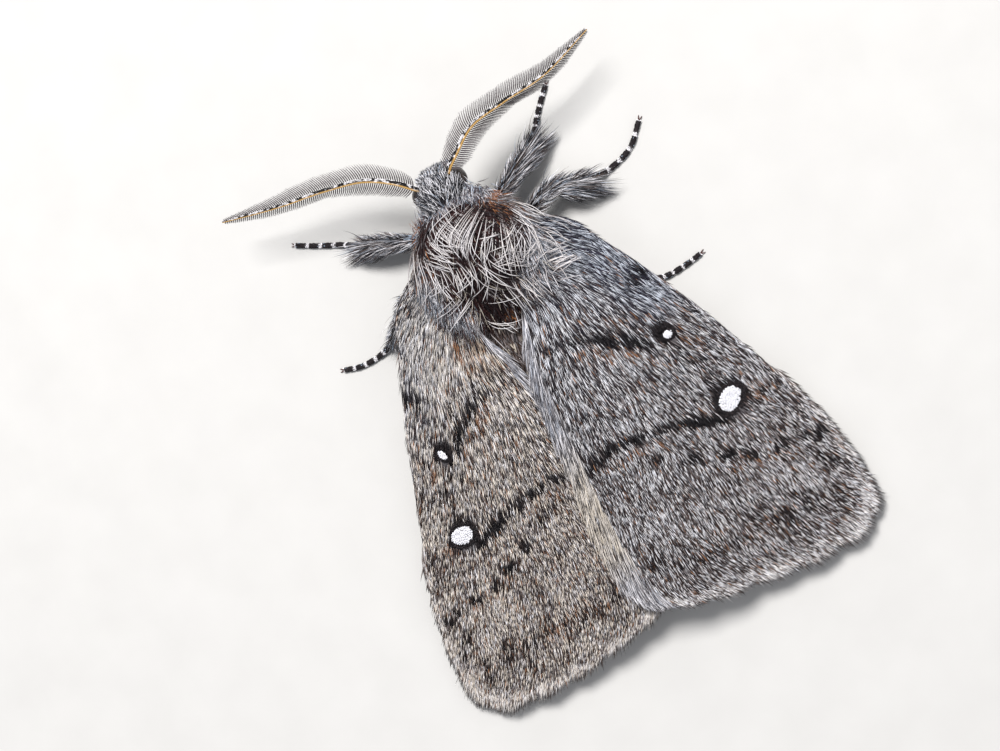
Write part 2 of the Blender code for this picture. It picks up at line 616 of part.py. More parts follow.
def leg(name, parts, root, knee, ankle, ground, tuft):
    """A leg of three nodes: femur with coxa, tibia with its tuft, and foot."""
    knee, ankle = MM * np.array(knee), MM * np.array(ankle)
    ground = MM * np.array([(*place, 0.0) for place in ground]) + (0, 0, FOOT_HEIGHT)
    x, y = MM * np.array(root) - THORAX_AT[:2]
    down = -THORAX_CORE[2] * math.sqrt(1 - (x / THORAX_CORE[0]) ** 2 - (y / THORAX_CORE[1]) ** 2)
    begin, normal = on_core(THORAX_AT, THORAX_CORE, (x, y, down), GAP)
    hip = begin + HIP * normal
    out = (knee - hip) / np.linalg.norm(knee - hip)
    tube(name + "_femur", [begin, hip, (hip + knee) / 2, knee], FEMUR_RADII, parts, LEG_LOOK)
    bend = knee + KNEE * out
    last = (ankle - bend) / np.linalg.norm(ankle - bend)
    points = [knee + GAP * out, bend, (bend + ankle) / 2, ankle - GAP / 2 * last]
    tibia = tube(name + "_tibia", points, TIBIA_RADII, parts, LEG_LOOK)
    fuse(tibia, tibia_tuft(bend, ankle, MM * tuft))
    shares = np.linspace(0, 1, FOOT_STEPS)
    points = along([ankle + FOOT_GAP * last, ankle + FOOT_BASE * last, *ground], shares)
    points[1] = ankle + FOOT_BASE * last
    joints = 1 - FOOT_WAIST * (np.arange(FOOT_STEPS) % 2)
    radii = FOOT * joints * (1 - FOOT_THINNER * shares)
    tube(name + "_tarsus", points, radii, parts, LEG_LOOK, lowest=0.0)


def tibia_tuft(knee, ankle, reach):
    """Locks that fan from a tibia, most of them to its rear side, towards its end."""
    axis = (ankle - knee) / np.linalg.norm(ankle - knee)
    rear = np.cross(axis, (0, 0, 1.0))
    rear *= -1 if rear[1] > 0 else 1
    rear /= np.linalg.norm(rear)
    up = np.cross(rear, axis)
    up *= np.sign(up[2])
    share = np.linspace(0, 1, LOCK_STEPS)[:, None]
    locks = []
    for place, back, high in TIBIA_LOCKS:
        way = back * rear + high * up
        way /= np.linalg.norm(way)
        root = knee + place * (ankle - knee)
        tip = reach * (TIBIA_WAY[0] * way + TIBIA_WAY[1] * axis)
        path = root + share * tip + TIBIA_BOW * np.sin(np.pi * share) * way
        path[:, 2] = np.maximum(path[:, 2], TIBIA_LOWEST)
        locks.append(lock(path, np.tile(np.cross(way, axis), (LOCK_STEPS, 1)), TIBIA_LOCK))
    return locks


def wings(parts, cutters):
    """The four wings, the right forewing lying on the left one."""
    room = cutter_of("wing_room", ovoid(THORAX_AT, THORAX_CORE + GAP, THORAX_RINGS), cutters)
    heights = {
        "forewing_right": (FOREWING, False, lambda x, y: roof(x, y) + right_lift(x, y)),
        "forewing_left": (FOREWING, True, roof),
        "hindwing_right": (HINDWING, False, lambda x, y: roof(x, y) - HINDWING_DROP),
        "hindwing_left": (HINDWING, True, lambda x, y: roof(x, y) - HINDWING_DROP),
    }
    for name, (wing, mirror, height) in heights.items():
        cut(wing_surface(wing, mirror, height, parts, name, WING_LOOK), room, "MANIFOLD")


def settle(parts):
    """Moves all parts so that the origin is on the floor under the middle of their box."""
    corners = []
    for thing in parts.objects:
        data = evaluated_mesh(thing)
        corners += [thing.matrix_world @ vertex.co for vertex in data.vertices]
        bpy.data.meshes.remove(data)
    corners = np.array(corners)
    middle = (corners.min(axis=0) + corners.max(axis=0)) / 2
    origin = bpy.data.objects.new("origin", None)
    parts.objects.link(origin)
    origin.location = (-middle[0], -middle[1], 0.0)
    return origin


def main():
    """Builds the moth."""
    parts, cutters = start()
    thorax(parts)
    abdomen(parts)
    head(parts, cutters)
    wings(parts, cutters)
    for side, sign in (("right", 1), ("left", -1)):
        antenna(side, sign, parts)
    for name, places in LEGS.items():
        leg(name, parts=parts, **places)
    origin = settle(parts)
    for thing in (*parts.objects, *cutters.objects):
        if thing != origin:
            thing.parent = origin
    bpy.context.view_layer.update()


main()
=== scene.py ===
"""A male Anthela xantharcha moth at rest, with its skin, scales and hair worked out around its solids.

All shapes are planned in millimetres from the middle of the thorax, +X to the moth's right, +Y
towards its head and +Z up from the floor. They are turned into metres in the solids' own frame
when a mesh is made.
"""

import itertools
import logging
from dataclasses import dataclass, replace
from enum import Enum

import bpy
import numpy as np
from mathutils import Matrix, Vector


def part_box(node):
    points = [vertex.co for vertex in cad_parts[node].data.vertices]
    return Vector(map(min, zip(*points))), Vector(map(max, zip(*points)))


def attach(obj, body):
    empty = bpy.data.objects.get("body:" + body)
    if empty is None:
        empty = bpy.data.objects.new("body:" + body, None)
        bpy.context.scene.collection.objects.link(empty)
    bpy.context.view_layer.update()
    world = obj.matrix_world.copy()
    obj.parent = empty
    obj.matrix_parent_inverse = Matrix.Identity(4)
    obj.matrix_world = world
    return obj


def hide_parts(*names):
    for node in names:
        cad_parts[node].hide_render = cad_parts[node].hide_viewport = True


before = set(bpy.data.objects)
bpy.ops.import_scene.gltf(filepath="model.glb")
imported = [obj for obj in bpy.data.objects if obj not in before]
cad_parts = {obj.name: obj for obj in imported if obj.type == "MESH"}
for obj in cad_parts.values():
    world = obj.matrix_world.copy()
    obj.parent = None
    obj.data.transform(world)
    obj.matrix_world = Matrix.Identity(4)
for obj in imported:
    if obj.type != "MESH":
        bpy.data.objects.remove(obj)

Array = np.ndarray
log = logging.getLogger("moth")

MM = 0.001
PATCH = 0.003  # size of one tuft on the map OFBake
UP = np.array((0.0, 0.0, 1.0))
GOLDEN = 0.6180339887  # its multiples, less whole numbers, fall evenly between 0 and 1
SPREAD = (0.7548776662466927, 0.5698402909980532)  # and those of these two over a square
EYE_MIDDLES = np.array(((1.6, 5.4, 4.55), (-1.4, 5.4, 4.55)))  # right and left, in the plan
EYE_ROOM = np.array((0.62, 0.82, 0.87))  # half widths of an eye with a little room
HAIR_FLOOR = 0.06  # least height of long hair over the floor


def plan_origin() -> Array:
    """Where the middle of the plan lies in the solids' frame, read off the right eye."""
    low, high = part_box("eye_right")
    return (np.array(low) + np.array(high)) / 2 - MM * EYE_MIDDLES[0]


ORIGIN = plan_origin()


class Side(Enum):
    """The moth's own right and left, as the sign of X."""

    RIGHT = 1
    LEFT = -1


# Numbers


def ease(value: Array, start: float, end: float) -> Array:
    """0 at the start and 1 at the end, easing at both: 3s^2 - 2s^3 of the share s between them."""
    share = np.clip((value - start) / (end - start), 0.0, 1.0)
    return share * share * (3 - 2 * share)


def cubic(knots: Array, values: Array, at: Array) -> Array:
    """Cubic pieces through values at knots.

    Args:
        knots: rising places.
        values: one value or point for each knot.
        at: where the curve is wanted.

    Returns:
        The values there, with each knot's slope taken from its neighbours.
    """
    slopes = np.gradient(values, knots, axis=0)
    at = np.clip(at, knots[0], knots[-1])
    i = np.clip(np.searchsorted(knots, at, side="right") - 1, 0, len(knots) - 2)
    step = knots[i + 1] - knots[i]
    f = (at - knots[i]) / step
    if values.ndim > 1:
        f, step = f[..., None], step[..., None]
    rise = 3 * f**2 - 2 * f**3
    start = (1 - rise) * values[i] + (f**3 - 2 * f**2 + f) * step * slopes[i]
    return start + rise * values[i + 1] + (f**3 - f**2) * step * slopes[i + 1]


def along(places: tuple, shares: Array) -> Array:
    """Points on a smooth curve through the places.

    Args:
        places: what the curve runs through.
        shares: how far along it each point is wanted, from 0 to 1.

    Returns:
        Cubic pieces over the summed straight distances from place to place.
    """
    points = np.asarray(places, float)
    knots = np.concatenate([[0.0], np.cumsum(np.linalg.norm(np.diff(points, axis=0), axis=1))])
    return cubic(knots, points, np.asarray(shares, float) * knots[-1])


def rows(table: tuple, at: Array) -> Array:
    """The smooth value of a table of (place, value) rows at the given places."""
    table = np.asarray(table, float)
    return cubic(table[:, 0], table[:, 1], np.asarray(at, float))


def unit(vectors: Array) -> Array:
    """The vectors at length 1."""
    return vectors / np.maximum(np.linalg.norm(vectors, axis=-1, keepdims=True), 1e-9)


def sideways(ahead: Array) -> Array:
    """The level direction at a right angle to each way, at length 1."""
    return unit(np.cross(ahead, UP))


def steps(count: int) -> Array:
    """Shares from 0 to 1 along a scale, which come closer together towards its tip."""
    return np.linspace(0, 1, count) ** 0.6


def near_to(spots: Array, middle: tuple, size: float) -> Array:
    """1 at a middle and less away from it: exp(-(distance / size)^2)."""
    return np.exp(-((np.linalg.norm(spots - middle, axis=1) / size) ** 2))


def noise(points: Array, size: float, seed: int) -> Array:
    """Smooth random values.

    Each corner of a lattice of cells gets a hashed value, and the values are eased between corners.

    Args:
        points: places, with two or three coordinates each.
        size: the width of a cell.
        seed: another seed gives another pattern.

    Returns:
        One value from 0 to 1 for each place.
    """
    at = points / size
    low = np.floor(at).astype(np.int64)
    part = at - low
    part = part * part * (3 - 2 * part)
    total = np.zeros(points.shape[:-1])
    for corner in itertools.product((0, 1), repeat=points.shape[-1]):
        key = np.full(points.shape[:-1], seed * 7919 + 17, dtype=np.uint64)
        weight = np.ones(points.shape[:-1])
        for axis, step in enumerate(corner):
            cell = (low[..., axis] + step).astype(np.uint64)
            key = ((key ^ cell) * np.uint64(2654435761)) & np.uint64(0xFFFFFFFF)
            key ^= key >> np.uint64(15)
            weight *= part[..., axis] if step else 1 - part[..., axis]
        total += weight * (key.astype(float) / 0xFFFFFFFF)
    return total


def colour(red: int, green: int, blue: int) -> Array:
    """A screen colour of 0 to 255 as linear light."""
    share = np.array((red, green, blue)) / 255
    return np.where(share <= 0.04045, share / 12.92, ((share + 0.055) / 1.055) ** 2.4)


# Colours of hair and scales
WHITE = colour(248, 246, 250)
CREAM = colour(234, 223, 206)
SILVER = colour(182, 198, 218)
GREY = colour(150, 146, 150)
BROWN = colour(104, 86, 76)
TAN = colour(172, 150, 128)
RUST = colour(172, 112, 68)
MAROON = colour(74, 36, 32)
UMBER = colour(86, 62, 48)
DARK = colour(42, 34, 36)
BLACK = colour(16, 14, 19)
# painted sky light in shade: the bluish dark that dark scales take where a wing is tinted by the sky
SKYLIT_SHADE = colour(58, 62, 84)
OCHRE = colour(224, 178, 104)


def mix(first: Array, second: Array, share: Array) -> Array:
    """Colours between two, by a share for each."""
    share = np.asarray(share)[..., None]
    return first * (1 - share) + second * share


def shaded(tip: Array, share: float, base: Array = None) -> Array:
    """For each colour one at the root, that share of the way to the base or else to dark, and its own."""
    return np.stack([mix(tip, DARK if base is None else base, np.full(len(tip), share)), tip], axis=1)


def frosted(
    draw: np.random.Generator, pick: Array, share: float, silver: float = 1.0, strength: float = 0.8
) -> Array:
    """Colours from grey to silver, and towards white for the picks below that share."""
    grey = mix(GREY, SILVER, draw.random(len(pick)) * silver)
    return mix(grey, WHITE, (pick < share) * strength)


# Meshes


def welded(points: Array, triangles: Array) -> tuple[Array, Array]:
    """Joins points that lie together.

    Args:
        points: places in mm.
        triangles: three point numbers for each face.

    Returns:
        The triangles on the first of each set of joined points, and which triangles still have
        three corners.
    """
    _, first, group = np.unique(np.round(points, 5), axis=0, return_index=True, return_inverse=True)
    joined_up = first[group.ravel()][triangles]
    whole = (joined_up != np.roll(joined_up, 1, axis=1)).all(axis=1)
    return joined_up, whole


def new_mesh(
    name: str, points: Array, triangles: Array, tones: Array, chart: Array,
    finish: "Finish | Facets", weld: bool = False,
) -> bpy.types.Object:
    """Makes a piece from whole arrays.

    Args:
        name: the piece's name.
        points: places in the plan, in mm.
        triangles: three point numbers for each face.
        tones: a colour for each point.
        chart: each point's place on the map OFBake.
        finish: what it is dressed in.
        weld: whether points that lie together are joined.

    Returns:
        The piece, in the scene, at the origin and unturned, with its faces outwards.
    """
    corner_chart = chart[triangles]
    if weld:
        triangles, whole = welded(points, triangles)
        triangles, corner_chart = triangles[whole], corner_chart[whole]
        used, triangles = np.unique(triangles, return_inverse=True)
        triangles, points, tones = triangles.reshape(-1, 3), points[used], tones[used]
    corners = points[triangles]
    if np.einsum("ij,ij->i", corners[:, 0], np.cross(corners[:, 1], corners[:, 2])).sum() < 0:
        triangles, corner_chart = triangles[:, ::-1], corner_chart[:, ::-1]
    mesh = bpy.data.meshes.new(name)
    mesh.vertices.add(len(points))
    mesh.vertices.foreach_set("co", (points * MM + ORIGIN).astype(np.float32).ravel())
    mesh.loops.add(triangles.size)
    mesh.loops.foreach_set("vertex_index", triangles.astype(np.int32).ravel())
    mesh.polygons.add(len(triangles))
    mesh.polygons.foreach_set("loop_start", np.arange(0, triangles.size, 3, dtype=np.int32))
    mesh.polygons.foreach_set("use_smooth", np.ones(len(triangles), dtype=bool))
    mesh.update(calc_edges=True)
    paint = mesh.color_attributes.new("tone", "FLOAT_COLOR", "POINT")
    shade = np.concatenate([tones, np.ones((len(tones), 1))], axis=1)
    paint.data.foreach_set("color", shade.astype(np.float32).ravel())
    layer = mesh.uv_layers.new(name="OFBake")
    layer.data.foreach_set("uv", corner_chart.astype(np.float32).ravel())
    mesh.materials.append(finish.material())
    piece = bpy.data.objects.new(name, mesh)
    bpy.context.scene.collection.objects.link(piece)
    return piece


def show(piece: bpy.types.Object, replaced: tuple = ()) -> None:
    """Ties a piece to the body and reports it.

    Args:
        piece: the piece.
        replaced: the solids' nodes that it stands for.
    """
    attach(piece, "root")
    if replaced:
        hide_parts(*replaced)
    log.info("%s: %d faces", piece.name, len(piece.data.polygons))


@dataclass
class Sheet:
    """A closed surface on a grid: points (n, m, 3) with their tones, round or open across."""

    points: Array
    tones: Array
    chart: Array
    round: bool = False

    def arrays(self) -> tuple[Array, Array, Array, Array]:
        """The grid's faces, with each quad split in two alike.

        Returns:
            Points, triangles, tones and chart.
        """
        n, m = self.points.shape[:2]
        number = np.arange(n * m).reshape(n, m)
        after = np.roll(number, -1, axis=1) if self.round else number[:, 1:]
        left = number if self.round else number[:, :-1]
        a, b, c, d = left[:-1], after[:-1], after[1:], left[1:]
        faces = np.stack([a, b, c, a, c, d], axis=-1).reshape(-1, 3)
        return self.points.reshape(-1, 3), faces, self.tones.reshape(-1, 3), self.chart.reshape(-1, 2)


def joined(parts: list) -> tuple[Array, Array, Array, Array]:
    """Several sets of (points, triangles, tones, chart) as one.

    Args:
        parts: the sets.

    Returns:
        The joined set, with the triangles' point numbers moved on.
    """
    starts = np.cumsum([0] + [len(part[0]) for part in parts[:-1]])
    points, _, tones, chart = (np.concatenate([part[i] for part in parts]) for i in range(4))
    faces = np.concatenate([part[1] + start for part, start in zip(parts, starts)])
    return points, faces, tones, chart


def tube(path: Array, radii: Array, tones: Array, sides: int, spot: Array, flat: float = 1.0) -> tuple:
    """A closed tube along a path: rings of `sides` points across it, and a point at each end.

    Args:
        path: its middle line.
        radii: its radius at each place.
        tones: its colour at each place, or at each place and side.
        sides: how many points go round it.
        spot: the corner of its patch on the map, and the patch's size.
        flat: height as a share of width.

    Returns:
        Points, triangles, tones and chart.
    """
    ahead = unit(np.gradient(path, axis=0))
    across = sideways(ahead)
    up = np.cross(across, ahead)
    turn = np.linspace(0, 2 * np.pi, sides, endpoint=False)
    ring = across[:, None] * np.cos(turn)[:, None] + up[:, None] * np.sin(turn)[:, None] * flat
    points = path[:, None] + ring * np.asarray(radii)[:, None, None]
    ends = np.repeat(path[[0, -1], None], sides, axis=1)
    points = np.concatenate([ends[:1], points, ends[1:]])
    if tones.ndim == 2:
        tones = np.repeat(tones[:, None], sides, axis=1)
    tones = np.concatenate([tones[:1], tones, tones[-1:]])
    share = np.linspace(0, 1, len(points))
    chart = np.stack(np.meshgrid(share, turn / (2 * np.pi), indexing="ij"), axis=-1)
    return Sheet(points, tones, spot[:2] + chart * spot[2:], round=True).arrays()


@dataclass
class Strands:
    """Hairs or scales of one coat: slim closed spindles with three sides.

    `paths` is (n, k, 3) from root to tip, `widths` (n,) the width of each at its widest, `ups`
    (n, k, 3) the way its ridge looks, `tones` (n, 2, 3) its colour at the root and the tip, and
    `chart` (n, 2) its root on an unwrap of the skin.
    """

    paths: Array
    widths: Array
    ups: Array
    tones: Array
    chart: Array
    flat: float = 0.6
    blunt: float = 0.0

    def arrays(self) -> tuple[Array, Array, Array, Array]:
        """The spindles: for each strand its root, rings of three points, then its tip.

        The width rises from 0.6 to 1 over the first 0.35 of the way and falls to `blunt` at the tip.

        Returns:
            Points, triangles, tones and chart.
        """
        n, k = self.paths.shape[:2]
        share = np.linspace(0, 1, k)
        taper = np.interp(share, (0, 0.35, 1), (0.6, 1, self.blunt))[1:-1]
        ahead = unit(np.gradient(self.paths, axis=1))[:, 1:-1]
        across = unit(np.cross(ahead, self.ups[:, 1:-1]))
        up = np.cross(across, ahead)
        half = (self.widths[:, None] * taper / 2)[..., None]
        ring = np.stack([-across * half, across * half, up * half * 2 * self.flat], axis=2)
        rings = (self.paths[:, 1:-1, None] + ring).reshape(n, -1, 3)
        points = np.concatenate([self.paths[:, :1], rings, self.paths[:, -1:]], axis=1)
        size = points.shape[1]
        level = np.concatenate([[0.0], np.repeat(share[1:-1], 3), [1.0]])
        tones = mix(self.tones[:, None, 0], self.tones[:, None, 1], ease(level, 0.1, 0.7)[None])
        sides = np.concatenate([[0.0], np.tile((-0.5, 0.5, 0.0), k - 2), [0.0]])
        chart = self.chart[:, None] + np.stack([sides, level], axis=-1) * PATCH
        faces = [(0, 1 + (side + 1) % 3, 1 + side) for side in range(3)]
        last = 1 + 3 * (k - 3)
        for start in range(1, last, 3):
            for side in range(3):
                a, b = start + side, start + (side + 1) % 3
                faces += [(a, b, b + 3), (a, b + 3, a + 3)]
        faces += [(last + side, last + (side + 1) % 3, size - 1) for side in range(3)]
        triangles = (np.arange(n)[:, None, None] * size + np.array(faces)).reshape(-1, 3)
        return points.reshape(-1, 3), triangles, tones.reshape(-1, 3), chart.reshape(-1, 2)

    def mirrored(self, side: Side) -> "Strands":
        """The same strands on the other side of the moth where that is asked for."""
        turn = np.array((side.value, 1, 1))
        return replace(self, paths=self.paths * turn, ups=self.ups * turn)


# Finishes


class Link:
    """A socket's value with arithmetic, each operation adding a Math node."""

    def __init__(self, graph: "Graph", socket: bpy.types.NodeSocket) -> None:
        """Wraps one output socket of a graph."""
        self.graph = graph
        self.socket = socket

    def _math(self, operation: str, first: object, second: object) -> "Link":
        """One Math node on two values or links."""
        return self.graph.node("ShaderNodeMath", {"operation": operation}, {0: first, 1: second})

    def __add__(self, other: object) -> "Link":
        """The sum."""
        return self._math("ADD", self, other)

    __radd__ = __add__

    def __mul__(self, other: object) -> "Link":
        """The product."""
        return self._math("MULTIPLY", self, other)

    __rmul__ = __mul__

    def __sub__(self, other: object) -> "Link":
        """The difference."""
        return self._math("SUBTRACT", self, other)

    def __rsub__(self, other: object) -> "Link":
        """The difference the other way round."""
        return self._math("SUBTRACT", other, self)


class Graph:
    """A material's nodes, made one at a time."""

    def __init__(self, name: str) -> None:
        """Starts a material with its Principled shader.

        Args:
            name: the material's name.
        """
        self.material = bpy.data.materials.new(name)
        self.material.use_nodes = True
        self.tree = self.material.node_tree
        self.shader = self.tree.nodes["Principled BSDF"]

    def node(self, kind: str, settings: dict, inputs: dict, output: object = 0) -> Link:
        """Adds a node.

        Args:
            kind: its type.
            settings: what is set on the node itself, before its sockets.
            inputs: a value or a link for each socket named or numbered.
            output: the socket that is wanted.

        Returns:
            The link of that socket.
        """
        made = self.tree.nodes.new(kind)
        for key, value in settings.items():
            setattr(made, key, value)
        for key, value in inputs.items():
            self.feed(made.inputs[key], value)
        return Link(self, made.outputs[output])

    def feed(self, socket: bpy.types.NodeSocket, value: object) -> None:
        """Links a link to a socket, or sets a number or colour on it.

        Args:
            socket: an input.
            value: a link, or a number or colour.
        """
        if isinstance(value, Link):
            self.tree.links.new(value.socket, socket)
        else:
            socket.default_value = value

    def tinted(self, first: object, second: object, share: object) -> Link:
        """Mixes two colours.

        Args:
            first: the colour where the share is 0.
            second: the colour where it is 1.
            share: a number or a link.

        Returns:
            The link of the mixed colour.
        """
        made = self.tree.nodes.new("ShaderNodeMix")
        made.data_type = "RGBA"
        for number, value in ((0, share), (6, first), (7, second)):
            self.feed(made.inputs[number], value)
        return Link(self, made.outputs[2])

    def grain(self, size: float, detail: float = 2.0) -> Link:
        """Noise on the piece's own coordinates.

        Args:
            size: width of its cells in metres.
            detail: how much finer noise is added.

        Returns:
            The link of its value, from 0 to 1.
        """
        where = self.node("ShaderNodeTexCoord", {}, {}, "Object")
        inputs = {"Vector": where, "Scale": 1 / size, "Detail": detail}
        return self.node("ShaderNodeTexNoise", {}, inputs, "Fac")

    def relief(self, height: Link, distance: float, invert: bool = False) -> None:
        """Gives the shader a bump.

        Args:
            height: the link that is its height, from 0 to 1.
            distance: its greatest height in mm.
            invert: whether high and low change places.
        """
        inputs = {"Height": height, "Distance": distance * MM}
        bump = self.node("ShaderNodeBump", {"invert": invert}, inputs, "Normal")
        self.feed(self.shader.inputs["Normal"], bump)


@dataclass(frozen=True)
class Finish:
    """A surface whose colour lies in its own points, broken up by a fine grain.

    `grain` is the size of its grain in mm, `depth` how far the grain darkens it, and `bump` the
    height of its relief in mm.
    """

    name: str
    roughness: float
    grain: float = 0.12
    depth: float = 0.25
    bump: float = 0.0
    specular: float = 0.3

    def material(self) -> bpy.types.Material:
        """The material, made once for all pieces that share it.

        Returns:
            The material: tone, darkened by grain * depth, and roughness from 0.1 below to 0.1 above.
        """
        found = bpy.data.materials.get(self.name)
        if found:
            return found
        graph = Graph(self.name)
        tone = graph.node("ShaderNodeAttribute", {"attribute_name": "tone"}, {}, "Color")
        grain = graph.grain(self.grain * MM)
        dark = graph.tinted(tone, (0.0, 0.0, 0.0, 1.0), grain * self.depth)
        graph.feed(graph.shader.inputs["Base Color"], dark)
        graph.feed(graph.shader.inputs["Roughness"], grain * 0.2 + (self.roughness - 0.1))
        graph.shader.inputs["Specular IOR Level"].default_value = self.specular
        if self.bump:
            graph.relief(graph.grain(self.grain * MM, 4.0), self.bump)
        return graph.material


@dataclass(frozen=True)
class Facets:
    """The dark, glossy surface of a compound eye, with facets `size` mm wide and `bump` mm high."""

    name: str = "eye"
    size: float = 0.045
    bump: float = 0.003
    roughness: float = 0.24

    def material(self) -> bpy.types.Material:
        """Dark brown cells with a soft gleam, each a low dome.

        Returns:
            The material.
        """
        graph = Graph(self.name)
        where = graph.node("ShaderNodeTexCoord", {}, {}, "Object")
        inputs = {"Vector": where, "Scale": 1 / (self.size * MM)}
        cells = graph.node("ShaderNodeTexVoronoi", {}, inputs, "Distance")
        tint = graph.tinted((0.035, 0.022, 0.016, 1.0), (0.006, 0.004, 0.004, 1.0), cells)
        graph.feed(graph.shader.inputs["Base Color"], tint)
        graph.shader.inputs["Roughness"].default_value = self.roughness
        graph.relief(cells, self.bump, invert=True)
        return graph.material


SKIN = Finish("skin", 0.85, grain=0.1, depth=0.5, bump=0.05)
SCALES = Finish("wing scales", 0.7, grain=0.15, depth=0.12)
HAIR = Finish("hair", 0.62, grain=0.3, depth=0.12)
HORN = Finish("antenna horn", 0.5, grain=0.08, depth=0.3, bump=0.02)


# Wings


@dataclass(frozen=True)
class Roof:
    """The surface on which the folded wings lie, as the solids have it, in mm."""

    ridge: tuple = ((-29, 3.0), (-20, 5.1), (-12, 7.1), (-5, 7.9), (3, 6.7))
    edge: tuple = ((-29, 0.85), (-20, 1.0), (-12, 1.6), (-6, 2.7), (0, 4.5), (3, 5.5))
    half: tuple = ((-29, 17.2), (-20, 16.2), (-12, 13.0), (-6, 10.2), (0, 7.0), (3, 5.0))
    power: float = 1.5
    lift: float = 1.06
    lift_side: tuple = (7.0, 2.6)
    lift_back: tuple = (-4.0, -9.0)

    def height(self, x: Array, y: Array, raised: bool) -> Array:
        """Height of the roof over the floor, in mm.

        Args:
            x: places across.
            y: places along.
            raised: whether the lift of the upper wing is added.

        Returns:
            edge + (ridge - edge) * (1 - out^power), where out is |x| / half and at most 1, and the lift.
        """
        ridge, edge, half = (rows(table, y) for table in (self.ridge, self.edge, self.half))
        out = np.minimum(np.abs(x) / half, 1.0)
        level = edge + (ridge - edge) * (1 - out**self.power)
        if raised:
            level = level + self.lift * ease(x, *self.lift_side) * ease(y, *self.lift_back)
        return level


ROOF = Roof()


class Tone(Enum):
    """What a mark does to the scales under it."""

    BLACK = "black"
    RUST = "rust"
    PALE = "pale"
    # painted sky light: a bluish silver sheen on the scales near the wing's base and costa
    BLUE = "blue"
    TAN = "tan"


@dataclass(frozen=True)
class Mark:
    """A stroke of one tone: its places on a wing in mm, its half width and its strength."""

    tone: Tone
    half: float
    strength: float
    places: tuple

    def share(self, spots: Array) -> Array:
        """How far each spot lies under the stroke.

        Args:
            spots: places on the wing.

        Returns:
            The strength up to 0.2 half widths from the stroke's line, easing to 0 at 1.25 of them.
        """
        line = np.asarray(self.places, float)
        if len(line) == 1:
            line = np.repeat(line, 2, axis=0)
        near = np.full(spots.shape[:-1], 1e9)
        for start, end in zip(line, line[1:]):
            run = end - start
            share = np.clip(((spots - start) @ run) / max(run @ run, 1e-9), 0, 1)
            near = np.minimum(near, np.linalg.norm(spots - start - share[..., None] * run, axis=-1))
        return self.strength * (1 - ease(near, 0.2 * self.half, 1.25 * self.half))


